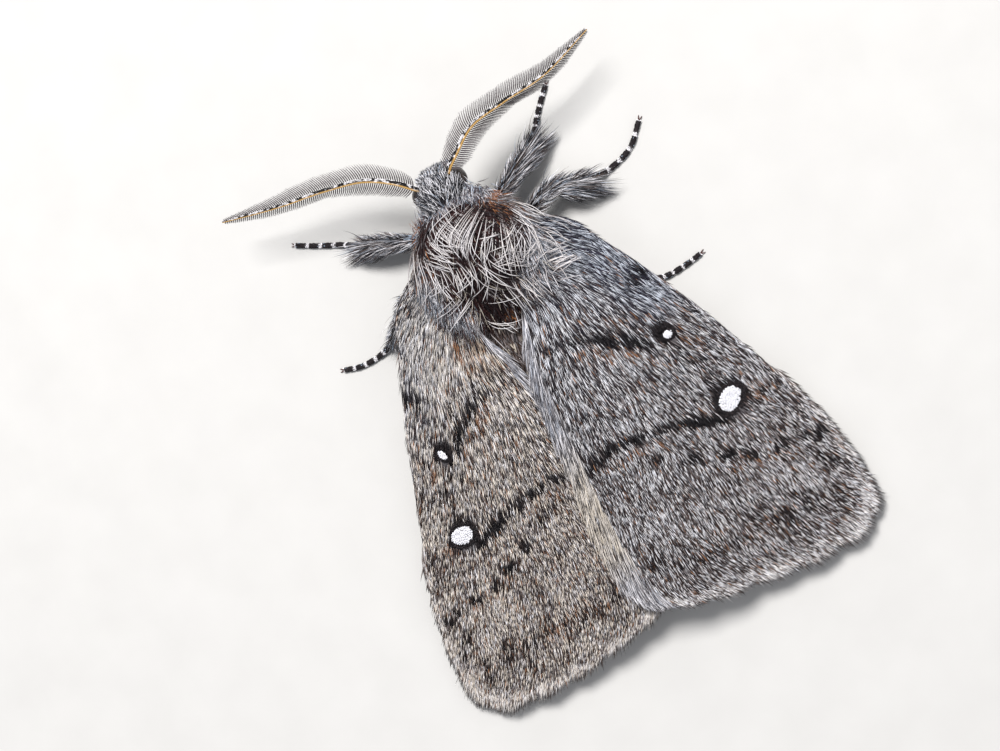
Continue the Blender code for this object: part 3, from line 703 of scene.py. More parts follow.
MARKS = (
    Mark(Tone.BLACK, 0.65, 0.95, ((8.5, -6.3), (9.2, -5.7))),
    Mark(Tone.RUST, 0.7, 0.5, ((8.0, -9.0),)),
    Mark(Tone.BLACK, 0.5, 0.6, ((2.2, -7.4), (3.3, -7.8), (4.6, -8.5))),
    Mark(Tone.BLACK, 0.5, 1.0, ((4.8, -8.6), (5.7, -9.1), (6.9, -10.0), (7.4, -10.5))),
    Mark(Tone.RUST, 0.5, 0.5, ((3.5, -8.9), (5.5, -10.2), (7.0, -11.2))),
    Mark(Tone.BLACK, 0.5, 0.45, ((8.9, -11.4), (9.8, -13.6), (10.1, -15.2))),
    Mark(Tone.RUST, 0.6, 0.4, ((9.7, -10.8), (10.4, -12.0))),
    Mark(Tone.BLACK, 0.4, 0.6, ((-0.4, -16.0), (1.2, -15.7))),
    Mark(Tone.BLACK, 0.5, 1.0, ((1.2, -15.7), (2.5, -15.5), (4.3, -15.8))),
    Mark(Tone.BLACK, 0.45, 0.85, ((4.3, -15.8), (6.1, -16.0), (7.2, -16.4))),
    Mark(Tone.BLACK, 0.55, 1.0, ((7.2, -16.5), (8.3, -16.9), (9.8, -17.4))),
    Mark(Tone.RUST, 0.55, 0.6, ((11.6, -16.9), (12.6, -16.8))),
    Mark(Tone.BLACK, 0.4, 0.6, ((11.8, -17.2), (14.1, -17.0))),
    Mark(Tone.RUST, 0.35, 0.4, ((1.0, -16.6), (3.3, -16.6), (5.4, -16.9))),
    Mark(Tone.BLACK, 0.5, 0.75, ((4.3, -17.6), (4.7, -17.7))),
    Mark(Tone.BLACK, 0.5, 0.8, ((6.3, -18.7), (6.8, -18.9))),
    Mark(Tone.BLACK, 0.52, 1.0, ((8.3, -19.6), (8.8, -19.7))),
    Mark(Tone.BLACK, 0.48, 0.95, ((9.7, -20.4), (10.1, -20.5))),
    Mark(Tone.BLACK, 0.48, 0.9, ((11.7, -20.9), (12.1, -20.8))),
    Mark(Tone.BLACK, 0.45, 0.8, ((13.7, -21.1), (13.9, -21.0))),
    Mark(Tone.BLACK, 0.5, 0.95, ((14.3, -21.4), (15.6, -21.2))),
    Mark(Tone.RUST, 0.5, 0.35, ((9.0, -20.6), (12.5, -21.6))),
    Mark(Tone.BLACK, 0.6, 0.6, ((13.9, -22.9), (15.4, -24.4))),
    Mark(Tone.PALE, 0.8, 0.45, ((15.3, -25.6), (15.0, -27.6), (13.6, -28.8))),
    Mark(Tone.PALE, 0.7, 0.5, ((0.2, -21.6), (1.6, -21.9), (3.2, -21.3))),
    Mark(Tone.PALE, 0.55, 0.55, ((6.6, -21.6), (6.4, -23.4))),
    Mark(Tone.PALE, 0.5, 0.6, ((10.3, -22.8), (10.1, -24.2))),
    Mark(Tone.PALE, 0.6, 0.6, ((12.8, -23.6), (13.0, -25.2))),
    Mark(Tone.PALE, 0.7, 0.6, ((-0.9, -25.9), (-0.3, -26.9))),
    Mark(Tone.PALE, 0.8, 0.35, ((2.0, -27.6), (7.0, -28.6), (12.0, -29.0))),
    Mark(Tone.BLACK, 0.9, 0.42, ((1.0, -24.0), (3.8, -24.9), (6.6, -25.3))),
    Mark(Tone.BLACK, 0.8, 0.5, ((8.2, -24.6), (10.4, -25.4))),
    Mark(Tone.BLACK, 0.7, 0.5, ((11.6, -24.6), (12.2, -26.0))),
    Mark(Tone.BLACK, 0.6, 0.4, ((13.8, -25.4), (13.9, -26.8))),
    Mark(Tone.RUST, 0.9, 0.25, ((4.0, -24.8), (6.6, -25.2), (9.0, -25.4))),
    # The last stroke is painted sky light, a bluish silver sheen over the base and the costa.
    Mark(Tone.BLUE, 2.0, 0.8, ((3.0, 0.5), (7.0, -2.6), (9.2, -8.0))),
)
LEFT_MARKS = (
    Mark(Tone.TAN, 1.4, 1.0, ((1.6, -4.6), (2.4, -6.2))),
    Mark(Tone.PALE, 2.2, 0.35, ((5.4, -2.6), (6.6, -6.5))),
    Mark(Tone.PALE, 1.6, 0.3, ((13.2, -20.6), (10.2, -22.4))),
    Mark(Tone.RUST, 0.6, 0.7, ((3.6, -3.9), (3.5, -6.2))),
    Mark(Tone.BLACK, 0.45, 0.7, ((2.1, -7.4), (2.4, -7.7))),
    Mark(Tone.BLACK, 0.6, 0.4, ((3.1, -17.1), (3.6, -17.3))),
)


@dataclass(frozen=True)
class Spot:
    """A white spot in a black ring: its middle, its two half widths and the ring's, in mm.

    `way` is the direction of the first half width.
    """

    middle: tuple
    half: tuple
    ring: tuple
    ring_middle: tuple
    way: tuple = (1.0, 0.0)

    def axes(self) -> Array:
        """The oval's two directions, as rows."""
        first = unit(np.array(self.way))
        return np.array((first, (-first[1], first[0])))

    def inside(self, spots: Array, half: tuple, middle: tuple) -> Array:
        """The distance from an oval's middle, 1 at its edge."""
        return np.linalg.norm((spots - np.array(middle)) @ self.axes().T / np.array(half), axis=-1)

    def white(self, spots: Array) -> Array:
        """Below 1 in the white."""
        return self.inside(spots, self.half, self.middle)

    def black(self, spots: Array) -> Array:
        """Below 1 in the ring and all that it holds."""
        return self.inside(spots, self.ring, self.ring_middle)


SPOTS = {
    Side.RIGHT: (
        Spot((8.9, -10.62), (0.26, 0.24), (0.62, 0.6), (8.9, -10.7)),
        Spot((10.48, -16.45), (0.86, 0.63), (1.2, 1.05), (10.62, -16.75), (0.8, 0.6)),
    ),
    Side.LEFT: (
        Spot((8.7, -10.7), (0.38, 0.2), (0.72, 0.58), (8.7, -10.78), (0.5, 0.87)),
        Spot((10.4, -16.3), (0.84, 0.58), (1.15, 1.02), (10.42, -16.62)),
    ),
}


@dataclass(frozen=True)
class Outline:
    """A folded wing seen from above: its four edges as places in mm, on the right side."""

    costa: tuple
    outer: tuple
    inner: tuple
    root: tuple


FOREWING = Outline(
    costa=((2.2, 1.6), (4.6, 0.9), (6.5, -0.3), (8.0, -2.7), (11.2, -9.2), (14.4, -17.3)),
    outer=(
        (14.4, -17.3), (15.7, -21.3), (16.3, -24.7), (16.4, -27.0), (15.9, -28.5), (14.7, -29.3),
        (12.0, -29.6), (8.0, -29.3), (4.0, -28.5), (1.2, -27.8), (-0.4, -27.2),
    ),
    inner=(
        (1.5, -2.4), (1.6, -4.3), (0.9, -6.6), (0.2, -9.0), (-0.4, -12.0), (-1.2, -16.5),
        (-1.9, -21.5), (-1.7, -25.2), (-0.4, -27.2),
    ),
    root=((2.2, 1.6), (2.0, -0.4), (1.5, -2.4)),
)
HINDWING = Outline(
    costa=((1.8, -1.9), (5.2, -4.4), (8.3, -9.0), (10.8, -14.5)),
    outer=(
        (10.8, -14.5), (11.9, -19.0), (11.2, -22.4), (8.4, -24.2), (5.0, -24.6), (2.2, -23.6), (0.9, -21.4),
    ),
    inner=((1.2, -3.0), (2.3, -4.6), (1.6, -8.0), (0.9, -14.0), (0.9, -21.4)),
    root=((1.8, -1.9), (1.6, -2.5), (1.2, -3.0)),
)


HIND_LAYERS = ((4500, 0.3, 0.25, 0.95),)
CHART_EDGE = 0.01
CHART_SIZE = (0.47, 0.97)  # of one side of a wing on the map


def wing_chart(u: Array, v: Array) -> Array:
    """Places on the upper side's half of a wing's map."""
    return np.stack([CHART_EDGE + CHART_SIZE[0] * u, CHART_EDGE + CHART_SIZE[1] * v], axis=-1)


def lobes(v: Array) -> Array:
    """The nine lobes of the outer edge, from 0 in a notch to 1: |sin(9 pi v + 0.6)|^0.6."""
    return np.abs(np.sin(v * np.pi * 9 + 0.6)) ** 0.6


@dataclass
class Wing:
    """One wing: a thin skin between a coat of long scales above and a shorter one below.

    `drop` is how far its upper side lies below the roof. Each of `layers` is the number of its
    scales, how many of them are pale, and the least and greatest rise of a scale in mm. `light`
    and `warm` make more of its scales pale, and its pale ones creamier: painted light, set higher
    on the left forewing to draw it lighter and warmer than the right one. `below` is the number of
    scales underneath, and `pieces` is how many coat pieces the upper side is made in.
    """

    name: str
    slot: str
    side: Side
    outline: Outline
    raised: bool = False
    drop: float = 0.0
    layers: tuple = ((36000, 0.28, 0.12, 0.32), (13500, 0.66, 0.24, 0.44))
    light: float = 0.78
    warm: float = 0.25
    below: int = 5000
    pieces: int = 2
    marked: bool = True
    skin_depth: float = 0.2
    skin_thick: float = 0.12
    skin_end: float = 0.955
    seed: int = 1

    def plan(self, u: Array, v: Array) -> Array:
        """Places on the wing from above, in mm on the right side.

        Args:
            u: share from root to outer edge.
            v: share from costa to inner margin.

        Returns:
            The blend of the four edges: (1-v) costa + v inner + (1-u) root + u outer, less the
            blend of the four corners, which both pairs hold.
        """
        shape = self.outline
        costa, inner = along(shape.costa, u), along(shape.inner, u)
        root, outer = along(shape.root, v), along(shape.outer, v)
        (a, b), (c, d) = (np.asarray(edge, float)[[0, -1]] for edge in (shape.root, shape.outer))
        u, v = u[..., None], v[..., None]
        corners = (1 - u) * ((1 - v) * a + v * b) + u * ((1 - v) * c + v * d)
        return (1 - v) * costa + v * inner + (1 - u) * root + u * outer - corners

    def top(self, spots: Array) -> Array:
        """Height of the solid's upper face."""
        return ROOF.height(spots[..., 0], spots[..., 1], self.raised) - self.drop

    def raise_to(self, spots: Array, over: Array) -> Array:
        """Points `over` the upper face."""
        return np.concatenate([spots, (self.top(spots) + over)[..., None]], axis=-1)

    def up(self, spots: Array) -> Array:
        """The upper face's normal, from its slopes over a tenth of a millimetre.

        Args:
            spots: places from above.

        Returns:
            unit(-slope along x, -slope along y, 1) at each.
        """
        step = 0.1
        slopes = [
            (self.top(spots + step * way) - self.top(spots - step * way)) / (2 * step) for way in np.eye(2)
        ]
        return unit(np.stack([-slopes[0], -slopes[1], np.ones_like(slopes[0])], axis=-1))

    def marks(self) -> tuple:
        """The strokes on this wing."""
        return MARKS + (LEFT_MARKS if self.side is Side.LEFT else ()) if self.marked else ()

    def tone_shares(self, spots: Array) -> dict:
        """The strongest share of each tone at each spot, with ragged edges.

        Args:
            spots: places from above.

        Returns:
            The shares by tone. Noise moves the edges, and breaks up the black.
        """
        wander = 0.4 * (noise(spots, 0.5, 3) - 0.5) + 0.3 * (noise(spots, 0.2, 4) - 0.5)
        places = spots + wander[..., None] * np.array((0.6, 1.0))
        shares = {tone: np.zeros(spots.shape[:-1]) for tone in Tone}
        for mark in self.marks():
            shares[mark.tone] = np.maximum(shares[mark.tone], mark.share(places))
        shares[Tone.BLACK] = shares[Tone.BLACK] * np.clip(0.55 + 0.8 * noise(spots, 0.55, 6), 0, 1)
        return shares

    def scale_tones(self, spots: Array, draw: np.random.Generator, pale_share: float) -> Array:
        """The colours of scales that show at these spots.

        Args:
            spots: where each scale shows, from above.
            draw: random numbers.
            pale_share: how many of them are pale where there is no mark.

        Returns:
            For each, a colour at its root and one at its tip. White and cream scales stand among
            brown and black ones, and the marks change how many there are of each. A bluish tint
            near the base and the costa, navy in the dark scales, is painted sky light.
        """
        n = len(spots)
        shares = self.tone_shares(spots)
        black, rust = shares[Tone.BLACK], shares[Tone.RUST]
        out = ease(-spots[:, 1], 4.0, 24.0)
        base = ease(spots[:, 1], -9.0, -3.0)
        cloud = noise(spots, 2.6, 8) * 0.6 + noise(spots, 0.9, 9) * 0.4
        # Painted light: a wing's light and warm raise its share of pale scales, more so at its base, so that
        # one forewing is drawn lighter than the other.
        pale = pale_share * self.light * (0.97 + (0.16 + 0.14 * self.warm) * base) * (1 + 0.6 * (cloud - 0.5))
        pale = pale * (1 + 0.6 * shares[Tone.PALE] - 0.15 * shares[Tone.BLUE])
        pale = np.clip(pale, 0, 1) * (1 - 0.97 * black)
        pick, second, third = draw.random((3, n))
        light = mix(WHITE, SILVER, np.full(n, 0.42 - 0.42 * self.warm))
        light = mix(light, CREAM, self.warm * ease(second, 0.1, 0.7))
        # Painted sky light: pale scales turn bluish silver and dark ones navy near the base and under the sky
        # stroke, and a warm wing takes little of it.
        blue = np.clip(0.25 + 0.8 * shares[Tone.BLUE] + 0.3 * base - 0.2 * out, 0, 1) * (1 - 0.9 * self.warm)
        light = mix(light, SILVER, blue * (0.4 + 0.6 * third))
        tan = np.clip(self.warm * (0.2 + 0.25 * out) + 0.08 + 0.7 * shares[Tone.TAN], 0, 1)
        light = mix(light, TAN, tan * (third > 0.35) * 0.9)
        # The middle scales take painted sky light too, as silver under the sky stroke.
        middle = mix(mix(GREY, BROWN, second), SILVER, 0.6 * shares[Tone.BLUE] * (1 - 0.7 * self.warm))
        deep = mix(DARK, BLACK, np.clip(second * 0.9 + black, 0, 1))
        umber = (0.25 + 0.45 * self.warm) * (0.4 + 0.6 * out) + 0.4 * shares[Tone.TAN]
        deep = mix(deep, SKYLIT_SHADE, blue * (1 - black) * 0.8)
        deep = mix(deep, UMBER, (third > 0.45) * np.clip(umber, 0, 1) * (1 - black))
        red = mix(mix(RUST, TAN, np.full(n, 0.35)), MAROON, second * 0.6)
        rusty = np.clip(0.015 + 0.03 * self.warm + 0.4 * rust, 0, 1) * (1 - 0.8 * black)
        tip = np.where((pick < pale)[:, None], light, deep)
        half_lit = (0.08 + 0.14 * out) * (1 - black)
        tip = np.where(((pick >= pale) & (pick < pale + half_lit))[:, None], middle, tip)
        tip = np.where((third < rusty)[:, None], red, tip)
        root = mix(tip, DARK, 0.1 + 0.35 * draw.random(n))
        return np.stack([root, tip], axis=1)

    def scatter(self, count: int, seed: int, low: tuple = (0.0, 0.0), high: tuple = (1.0, 1.0)) -> Array:
        """Shares (u, v) spread evenly over the wing's area.

        Args:
            count: how many are wanted.
            seed: for the draw.
            low: least shares.
            high: greatest shares.

        Returns:
            The shares: an even sequence thinned where the chart is squeezed together.
        """
        draw = np.random.default_rng(seed)
        number = np.arange(int(count * 2.6))
        shares = number[:, None] * np.array(SPREAD) % 1
        shares = np.array(low) + shares * (np.array(high) - np.array(low))
        step = 0.004
        u, v = shares.T
        here = self.plan(u, v)
        du, dv = self.plan(u + step, v) - here, self.plan(u, v + step) - here
        area = np.abs(du[:, 0] * dv[:, 1] - du[:, 1] * dv[:, 0])
        kept = shares[draw.random(len(shares)) < area / np.percentile(area, 98)]
        return kept[:count]

    def stopped(self, start: Array, way: Array, length: Array) -> Array:
        """Lengths cut short where a scale would reach into a white spot.

        Args:
            start: the roots.
            way: the direction of each scale.
            length: of each.

        Returns:
            0 where less than 0.3 of a scale is clear, 0.97 of the clear part where some of it is not.
        """
        if not self.marked:
            return length
        share = np.linspace(0, 1, 14)
        spots = start[:, None] + way[:, None] * (length[:, None] * share)[..., None]
        white = np.min([spot.white(spots) for spot in SPOTS[self.side]], axis=0)
        ragged = 1.0 + 0.16 * noise(spots, 0.12, 33)
        clear = np.cumprod(white > ragged, axis=1).sum(axis=1) / len(share)
        return length * np.where(clear < 0.3, 0, np.where(clear < 1, clear * 0.97, 1))

    def combed(
        self, shares: Array, length: Array, turn: Array, heights: Array, seed: int, width: Array,
        pale: float = 0.5,
    ) -> Strands:
        """Scales that lie along the wing.

        Each runs from its root in the plan along the way in which u grows, turned, and takes the
        surface's height as it goes.

        Args:
            shares: their roots' (u, v).
            length: of each, in mm.
            turn: how far each is turned from the way to the outer edge, in radians.
            heights: (n, k) over the upper face, from root to tip.
            seed: for their colours.
            width: of each.
            pale: how many of them are pale.

        Returns:
            The strands, without those that a white spot cuts short.
        """
        draw = np.random.default_rng(seed)
        u, v = shares.T
        start = self.plan(u, v)
        way = unit(self.plan(np.minimum(u + 0.01, 1), v) - self.plan(np.maximum(u - 0.01, 0), v))
        cos, sin = np.cos(turn), np.sin(turn)
        way = np.stack([way[:, 0] * cos - way[:, 1] * sin, way[:, 0] * sin + way[:, 1] * cos], axis=-1)
        share = steps(heights.shape[1])
        length = self.stopped(start, way, length)
        spots = start[:, None] + way[:, None] * (length[:, None] * share)[..., None]
        paths = self.raise_to(spots, heights)
        tones = self.scale_tones(spots[:, 0] + 0.6 * (spots[:, -1] - spots[:, 0]), draw, pale)
        if self.marked:
            near = np.min([spot.black(spots[:, 1:]).min(axis=1) for spot in SPOTS[self.side]], axis=0)
            ringed = near < 1 + 0.15 * draw.random(len(near))
            tones[ringed] = mix(DARK, BLACK, draw.random(ringed.sum()))[:, None]
        chart = wing_chart(u, v)
        return thinned(Strands(paths, width, self.up(spots), tones, chart), np.flatnonzero(length > 0.05))

    def flow(self, shares: Array, seed: int, draw: np.random.Generator) -> tuple[Array, Array]:
        """Small locks: how far each scale turns, and how high it stands, with its neighbours and alone.

        Args:
            shares: the roots' (u, v).
            seed: for the noise that neighbours share.
            draw: for each alone.

        Returns:
            Turns in radians, and how high each stands, from 0 to 1.
        """
        spots = self.plan(*shares.T)
        calm = ease(shares[:, 1], 0.0, 0.09) * ease(shares[:, 1], 1.0, 0.88)
        turn = 0.32 * (noise(spots, 1.6, seed) - 0.5) + 0.24 * (noise(spots, 0.5, seed + 1) - 0.5)
        turn = (turn + 0.1 * draw.standard_normal(len(shares))) * (0.3 + 0.7 * calm)
        turn = turn - 0.12 * ease(shares[:, 1], 0.09, 0.0)
        stand = 0.5 * noise(spots, 0.8, seed + 2) + 0.5 * draw.random(len(shares))
        return turn, stand

    def upper_coat(self) -> list:
        """The long scales of the upper side in equal pieces: a mixed coat, and pale ones that lie on it.

        Returns:
            For each piece, its part of each layer.
        """
        made = []
        for layer, (count, pale, low, high) in enumerate(self.layers):
            seed = self.seed * 10 + layer
            draw = np.random.default_rng(seed)
            shares = self.scatter(count, seed, (0.01, 0.0), (self.skin_end, 1.0))
            shares = shares[draw.permutation(len(shares))]
            out = ease(-self.plan(*shares.T)[:, 1], 2.0, 20.0)
            length = (2.2 - 1.1 * out) * draw.uniform(0.65, 1.2, len(shares))
            length = np.minimum(length, 0.25 + (1 - shares[:, 0]) * 28)
            length *= 1 - 0.45 * ease(shares[:, 1], 0.2, 0.0) * ease(shares[:, 0], 0.35, 0.1)
            turn, stand = self.flow(shares, self.seed * 10, draw)
            share = steps(3)
            rise = (low + (high - low) * stand)[:, None] * share**0.7 * (1 - 0.2 * share)
            width = draw.uniform(0.052, 0.08, len(shares))
            coat = self.combed(shares, length, turn, -self.skin_depth - 0.1 + rise, seed + 100, width, pale)
            size = (len(coat.paths) + self.pieces - 1) // self.pieces
            number = np.arange(len(coat.paths))
            made.append([thinned(coat, number[i * size : (i + 1) * size]) for i in range(self.pieces)])
        return [list(parts) for parts in zip(*made)]

    def disc(
        self, spot: Spot, draw: np.random.Generator, count: int, reach: tuple, length: float, over: float
    ) -> Strands:
        """Short broad scales, laid flat, with their roots in an oval round a spot.

        Args:
            spot: the white spot.
            draw: random numbers.
            count: how many.
            reach: least and greatest distance of the roots as shares of the spot's half widths.
            length: of each, in mm.
            over: height of their tips over the wing.

        Returns:
            The strands, white.
        """
        radius = np.sqrt(draw.uniform(reach[0] ** 2, reach[1] ** 2, count)) * draw.normal(1, 0.05, count)
        angle = draw.random(count) * 2 * np.pi
        offset = np.stack([np.cos(angle), np.sin(angle)], axis=-1) * radius[:, None] * np.array(spot.half)
        start = np.array(spot.middle) + offset @ spot.axes() + (0, length / 2)
        way = unit(np.stack([0.35 + 0.25 * draw.standard_normal(count), -np.ones(count)], axis=-1))
        share = steps(3)
        spots = start[:, None] + way[:, None] * (length * share)[None, :, None]
        heights = over - 0.25 + (0.15 + 0.1 * draw.random(count)[:, None]) * share**0.6
        tint = mix(WHITE, SILVER, 0.25 * draw.random(count))
        chart = wing_chart(start[:, 0] / 20, -start[:, 1] / 32)
        width = draw.uniform(0.11, 0.15, count)
        paths = self.raise_to(spots, heights)
        return Strands(paths, width, self.up(spots), shaded(tint, 0.0), chart, 0.25, 0.6)

    def spot_scales(self) -> list:
        """The scales of each spot: black ones that show round it, and white ones over their middle.

        Returns:
            Two coats for each spot, and none on a wing without marks.
        """
        if not self.marked:
            return []
        made = []
        for number, spot in enumerate(SPOTS[self.side]):
            draw = np.random.default_rng(self.seed + 40 + number)
            size = spot.half[0] * spot.half[1]
            ring = self.disc(spot, draw, int(900 * size) + 80, (0.75, 1.45), 0.42, 0.0)
            ring.tones = np.repeat(mix(DARK, BLACK, draw.random(len(ring.paths)))[:, None], 2, axis=1)
            made += [ring, self.disc(spot, draw, int(1500 * size) + 60, (0.0, 1.0), 0.2, 0.08)]
        return made

    def edge_fringe(self, draw: np.random.Generator) -> Strands:
        """The long scales of the outer edge, which stand out in nine lobes.

        Args:
            draw: random numbers.

        Returns:
            The strands, paler in a lobe and darker in a notch and at the tip of the wing.
        """
        count = 3600 if self.marked else 900
        v = (np.arange(count) * GOLDEN) % 1
        u = self.skin_end - 0.04 * draw.random(count)
        shares = np.stack([u, v], axis=-1)
        spots = self.plan(u, v)
        length = np.linalg.norm(self.plan(np.ones(count), v) - spots, axis=1) * (0.7 + 0.3 * lobes(v))
        length *= draw.uniform(0.78, 1.04, count) * (1 - 0.45 * ease(v, 0.9, 0.98))
        turn = 0.2 * (noise(spots, 0.4, self.seed + 5) - 0.5) + 0.08 * draw.standard_normal(count)
        share = steps(3)
        heights = -self.skin_depth + (0.1 + 0.1 * draw.random(count)[:, None]) * share - 0.1 * share**2
        edge = self.combed(shares, length, turn, heights, self.seed + 8, draw.uniform(0.07, 0.11, count))
        lobe = lobes((edge.chart[:, 1] - CHART_EDGE) / CHART_SIZE[1])
        count = len(edge.paths)
        light = mix(WHITE, SILVER, draw.random(count) * 0.6)
        light = mix(light, CREAM, 0.3 + 0.6 * self.warm * draw.random(count))
        light = mix(light, GREY, draw.random(count) * 0.5)
        shade = mix(mix(BROWN, UMBER, draw.random(count)), DARK, draw.random(count))
        corner = ease(edge.chart[:, 1], 0.16, 0.02)
        shade = mix(light, shade, (draw.random(count) < 0.62 - 0.3 * lobe + 0.3 * corner) * 0.9)
        edge.tones = shaded(shade, 0.4)
        return edge

    def margin(self, draw: np.random.Generator) -> Strands:
        """The strip of long hair on the inner margin, cream in its rear half.

        Args:
            draw: random numbers.

        Returns:
            The strands.
        """
        count = 1700 if self.raised else 900
        u = 0.08 + 0.87 * ((np.arange(count) * GOLDEN) % 1)
        v = 0.93 + 0.065 * draw.random(count)
        length = np.minimum(draw.uniform(1.4, 2.6, count), 0.2 + (1 - u) * 14)
        turn = draw.uniform(-0.22, 0.02, count)
        share = steps(4)
        rise = (0.2 + 0.25 * draw.random(count)[:, None]) * share**0.7
        heights = -self.skin_depth + rise - 0.12 * share**2
        width = draw.uniform(0.045, 0.07, count)
        strip = self.combed(np.stack([u, v], axis=-1), length, turn, heights, self.seed + 9, width)
        pick = draw.random(len(strip.paths))
        back = -strip.paths[:, 0, 1]
        white = 0.34 + 0.28 * ease(back, 9.0, 14.0)
        light = mix(mix(GREY, SILVER, pick * 0.4), WHITE, (draw.random(len(pick)) < white) * 0.8)
        light = mix(light, CREAM, ease(back, 12.0, 16.0) * ease(back, 24.0, 20.0) * (0.4 + 0.6 * pick))
        light = mix(light, DARK, (draw.random(len(pick)) < 0.26) * draw.uniform(0.6, 1.0, len(pick)))
        strip.tones = shaded(light, 0.3)
        return strip

    def fringe(self) -> list:
        """The long scales of the outer edge and, on a forewing, of the inner margin."""
        draw = np.random.default_rng(self.seed + 7)
        return [self.edge_fringe(draw), self.margin(draw)] if self.marked else [self.edge_fringe(draw)]

    def lower_coat(self) -> Strands:
        """Short scales that lie flat below.

        Returns:
            The strands, with their ridges down.
        """
        draw = np.random.default_rng(self.seed + 60)
        shares = self.scatter(self.below, self.seed + 61, (0.02, 0.0), (self.skin_end, 1.0))
        turn, stand = self.flow(shares, self.seed * 10 + 5, draw)
        count = len(shares)
        share = np.linspace(0, 1, 3)
        base = -self.skin_depth - self.skin_thick
        heights = base + 0.04 - (0.08 + 0.1 * stand[:, None]) * share**0.7
        length = np.minimum(draw.uniform(0.9, 1.5, count), (1 - shares[:, 0]) * 18)
        coat = self.combed(shares, length, turn, heights, self.seed + 62, draw.uniform(0.14, 0.24, count))
        count = len(coat.paths)
        tip = mix(mix(GREY, TAN, draw.random(count)), DARK, 0.3 + 0.5 * noise(coat.paths[:, 0, :2], 1.5, 21))
        coat.tones = shaded(tip, 0.4)
        coat.ups = -coat.ups
        coat.chart[:, 0] += 0.5
        return coat

    def skin(self) -> tuple:
        """The membrane: the upper and the lower face on one grid, closed along all edges.

        Returns:
            Points, triangles, tones and chart.
        """
        u, v = np.meshgrid(np.linspace(0, self.skin_end, 64), np.linspace(0.012, 0.99, 70), indexing="ij")
        spots = self.plan(u, v)
        shares = self.tone_shares(spots)
        tone = mix(mix(DARK, GREY, 0.25 + 0.2 * noise(spots, 1.2, 9)), BLACK, shares[Tone.BLACK])
        tone = mix(tone, RUST, 0.4 * shares[Tone.RUST])
        edge = np.minimum(np.minimum(v, 1 - v) * 30, np.minimum(u, self.skin_end - u) * 20)
        thick = self.skin_thick * np.sqrt(np.clip(edge, 0, 1))
        middle = -self.skin_depth - self.skin_thick / 2
        above, below = self.raise_to(spots, middle + thick / 2), self.raise_to(spots, middle - thick / 2)
        points = np.concatenate([above, below[:, ::-1]], axis=1)
        tones = np.concatenate([tone, mix(tone, GREY, np.full(v.shape, 0.3))[:, ::-1]], axis=1)
        chart = wing_chart(u, v)
        chart = np.concatenate([chart, (chart + (0.5, 0))[:, ::-1]], axis=1)
        points, faces, tones, chart = Sheet(points, tones, chart, round=True).arrays()
        return points * (self.side.value, 1, 1), faces, tones, chart

    def make(self) -> None:
        """Builds the wing's pieces."""
        show(new_mesh(self.name + "_skin", *self.skin(), SKIN, weld=True), (self.name,))
        for number, parts in enumerate(self.upper_coat()):
            if number == 0:
                parts += self.spot_scales()
            else:
                parts += self.fringe()
            self.coat_piece("%s_scales_%d" % (self.name, number + 1), parts)
        if self.pieces == 1:
            self.coat_piece(self.name + "_fringe", self.fringe())
        self.coat_piece(self.name + "_underside", [self.lower_coat()])

    def coat_piece(self, name: str, parts: list) -> None:
        """One coat piece from several sets of strands."""
        arrays = joined([part.mirrored(self.side).arrays() for part in parts])
        show(new_mesh(name, *arrays, SCALES))


def capped(grid: Array) -> Array:
    """A round grid with its first and last row drawn together to their middles, so that it closes."""
    first, last = (np.repeat(grid[row].mean(axis=0)[None], grid.shape[1], axis=0)[None] for row in (0, -1))
    return np.concatenate([first, grid, last])


def thinned(coat: Strands, chosen: Array) -> Strands:
    """Only the chosen strands."""
    parts = (coat.paths, coat.widths, coat.ups, coat.tones, coat.chart)
    return Strands(*(part[chosen] for part in parts), coat.flat, coat.blunt)


# Body


def palp_places(side: Side) -> tuple:
    """The middle line of a palp, which reaches forward and down from the face."""
    x, out = 0.1 + 0.62 * side.value, 0.1 * side.value
    return (x, 6.0, 3.6), (x + out, 6.5, 3.2), (x + 2 * out, 6.9, 2.85)


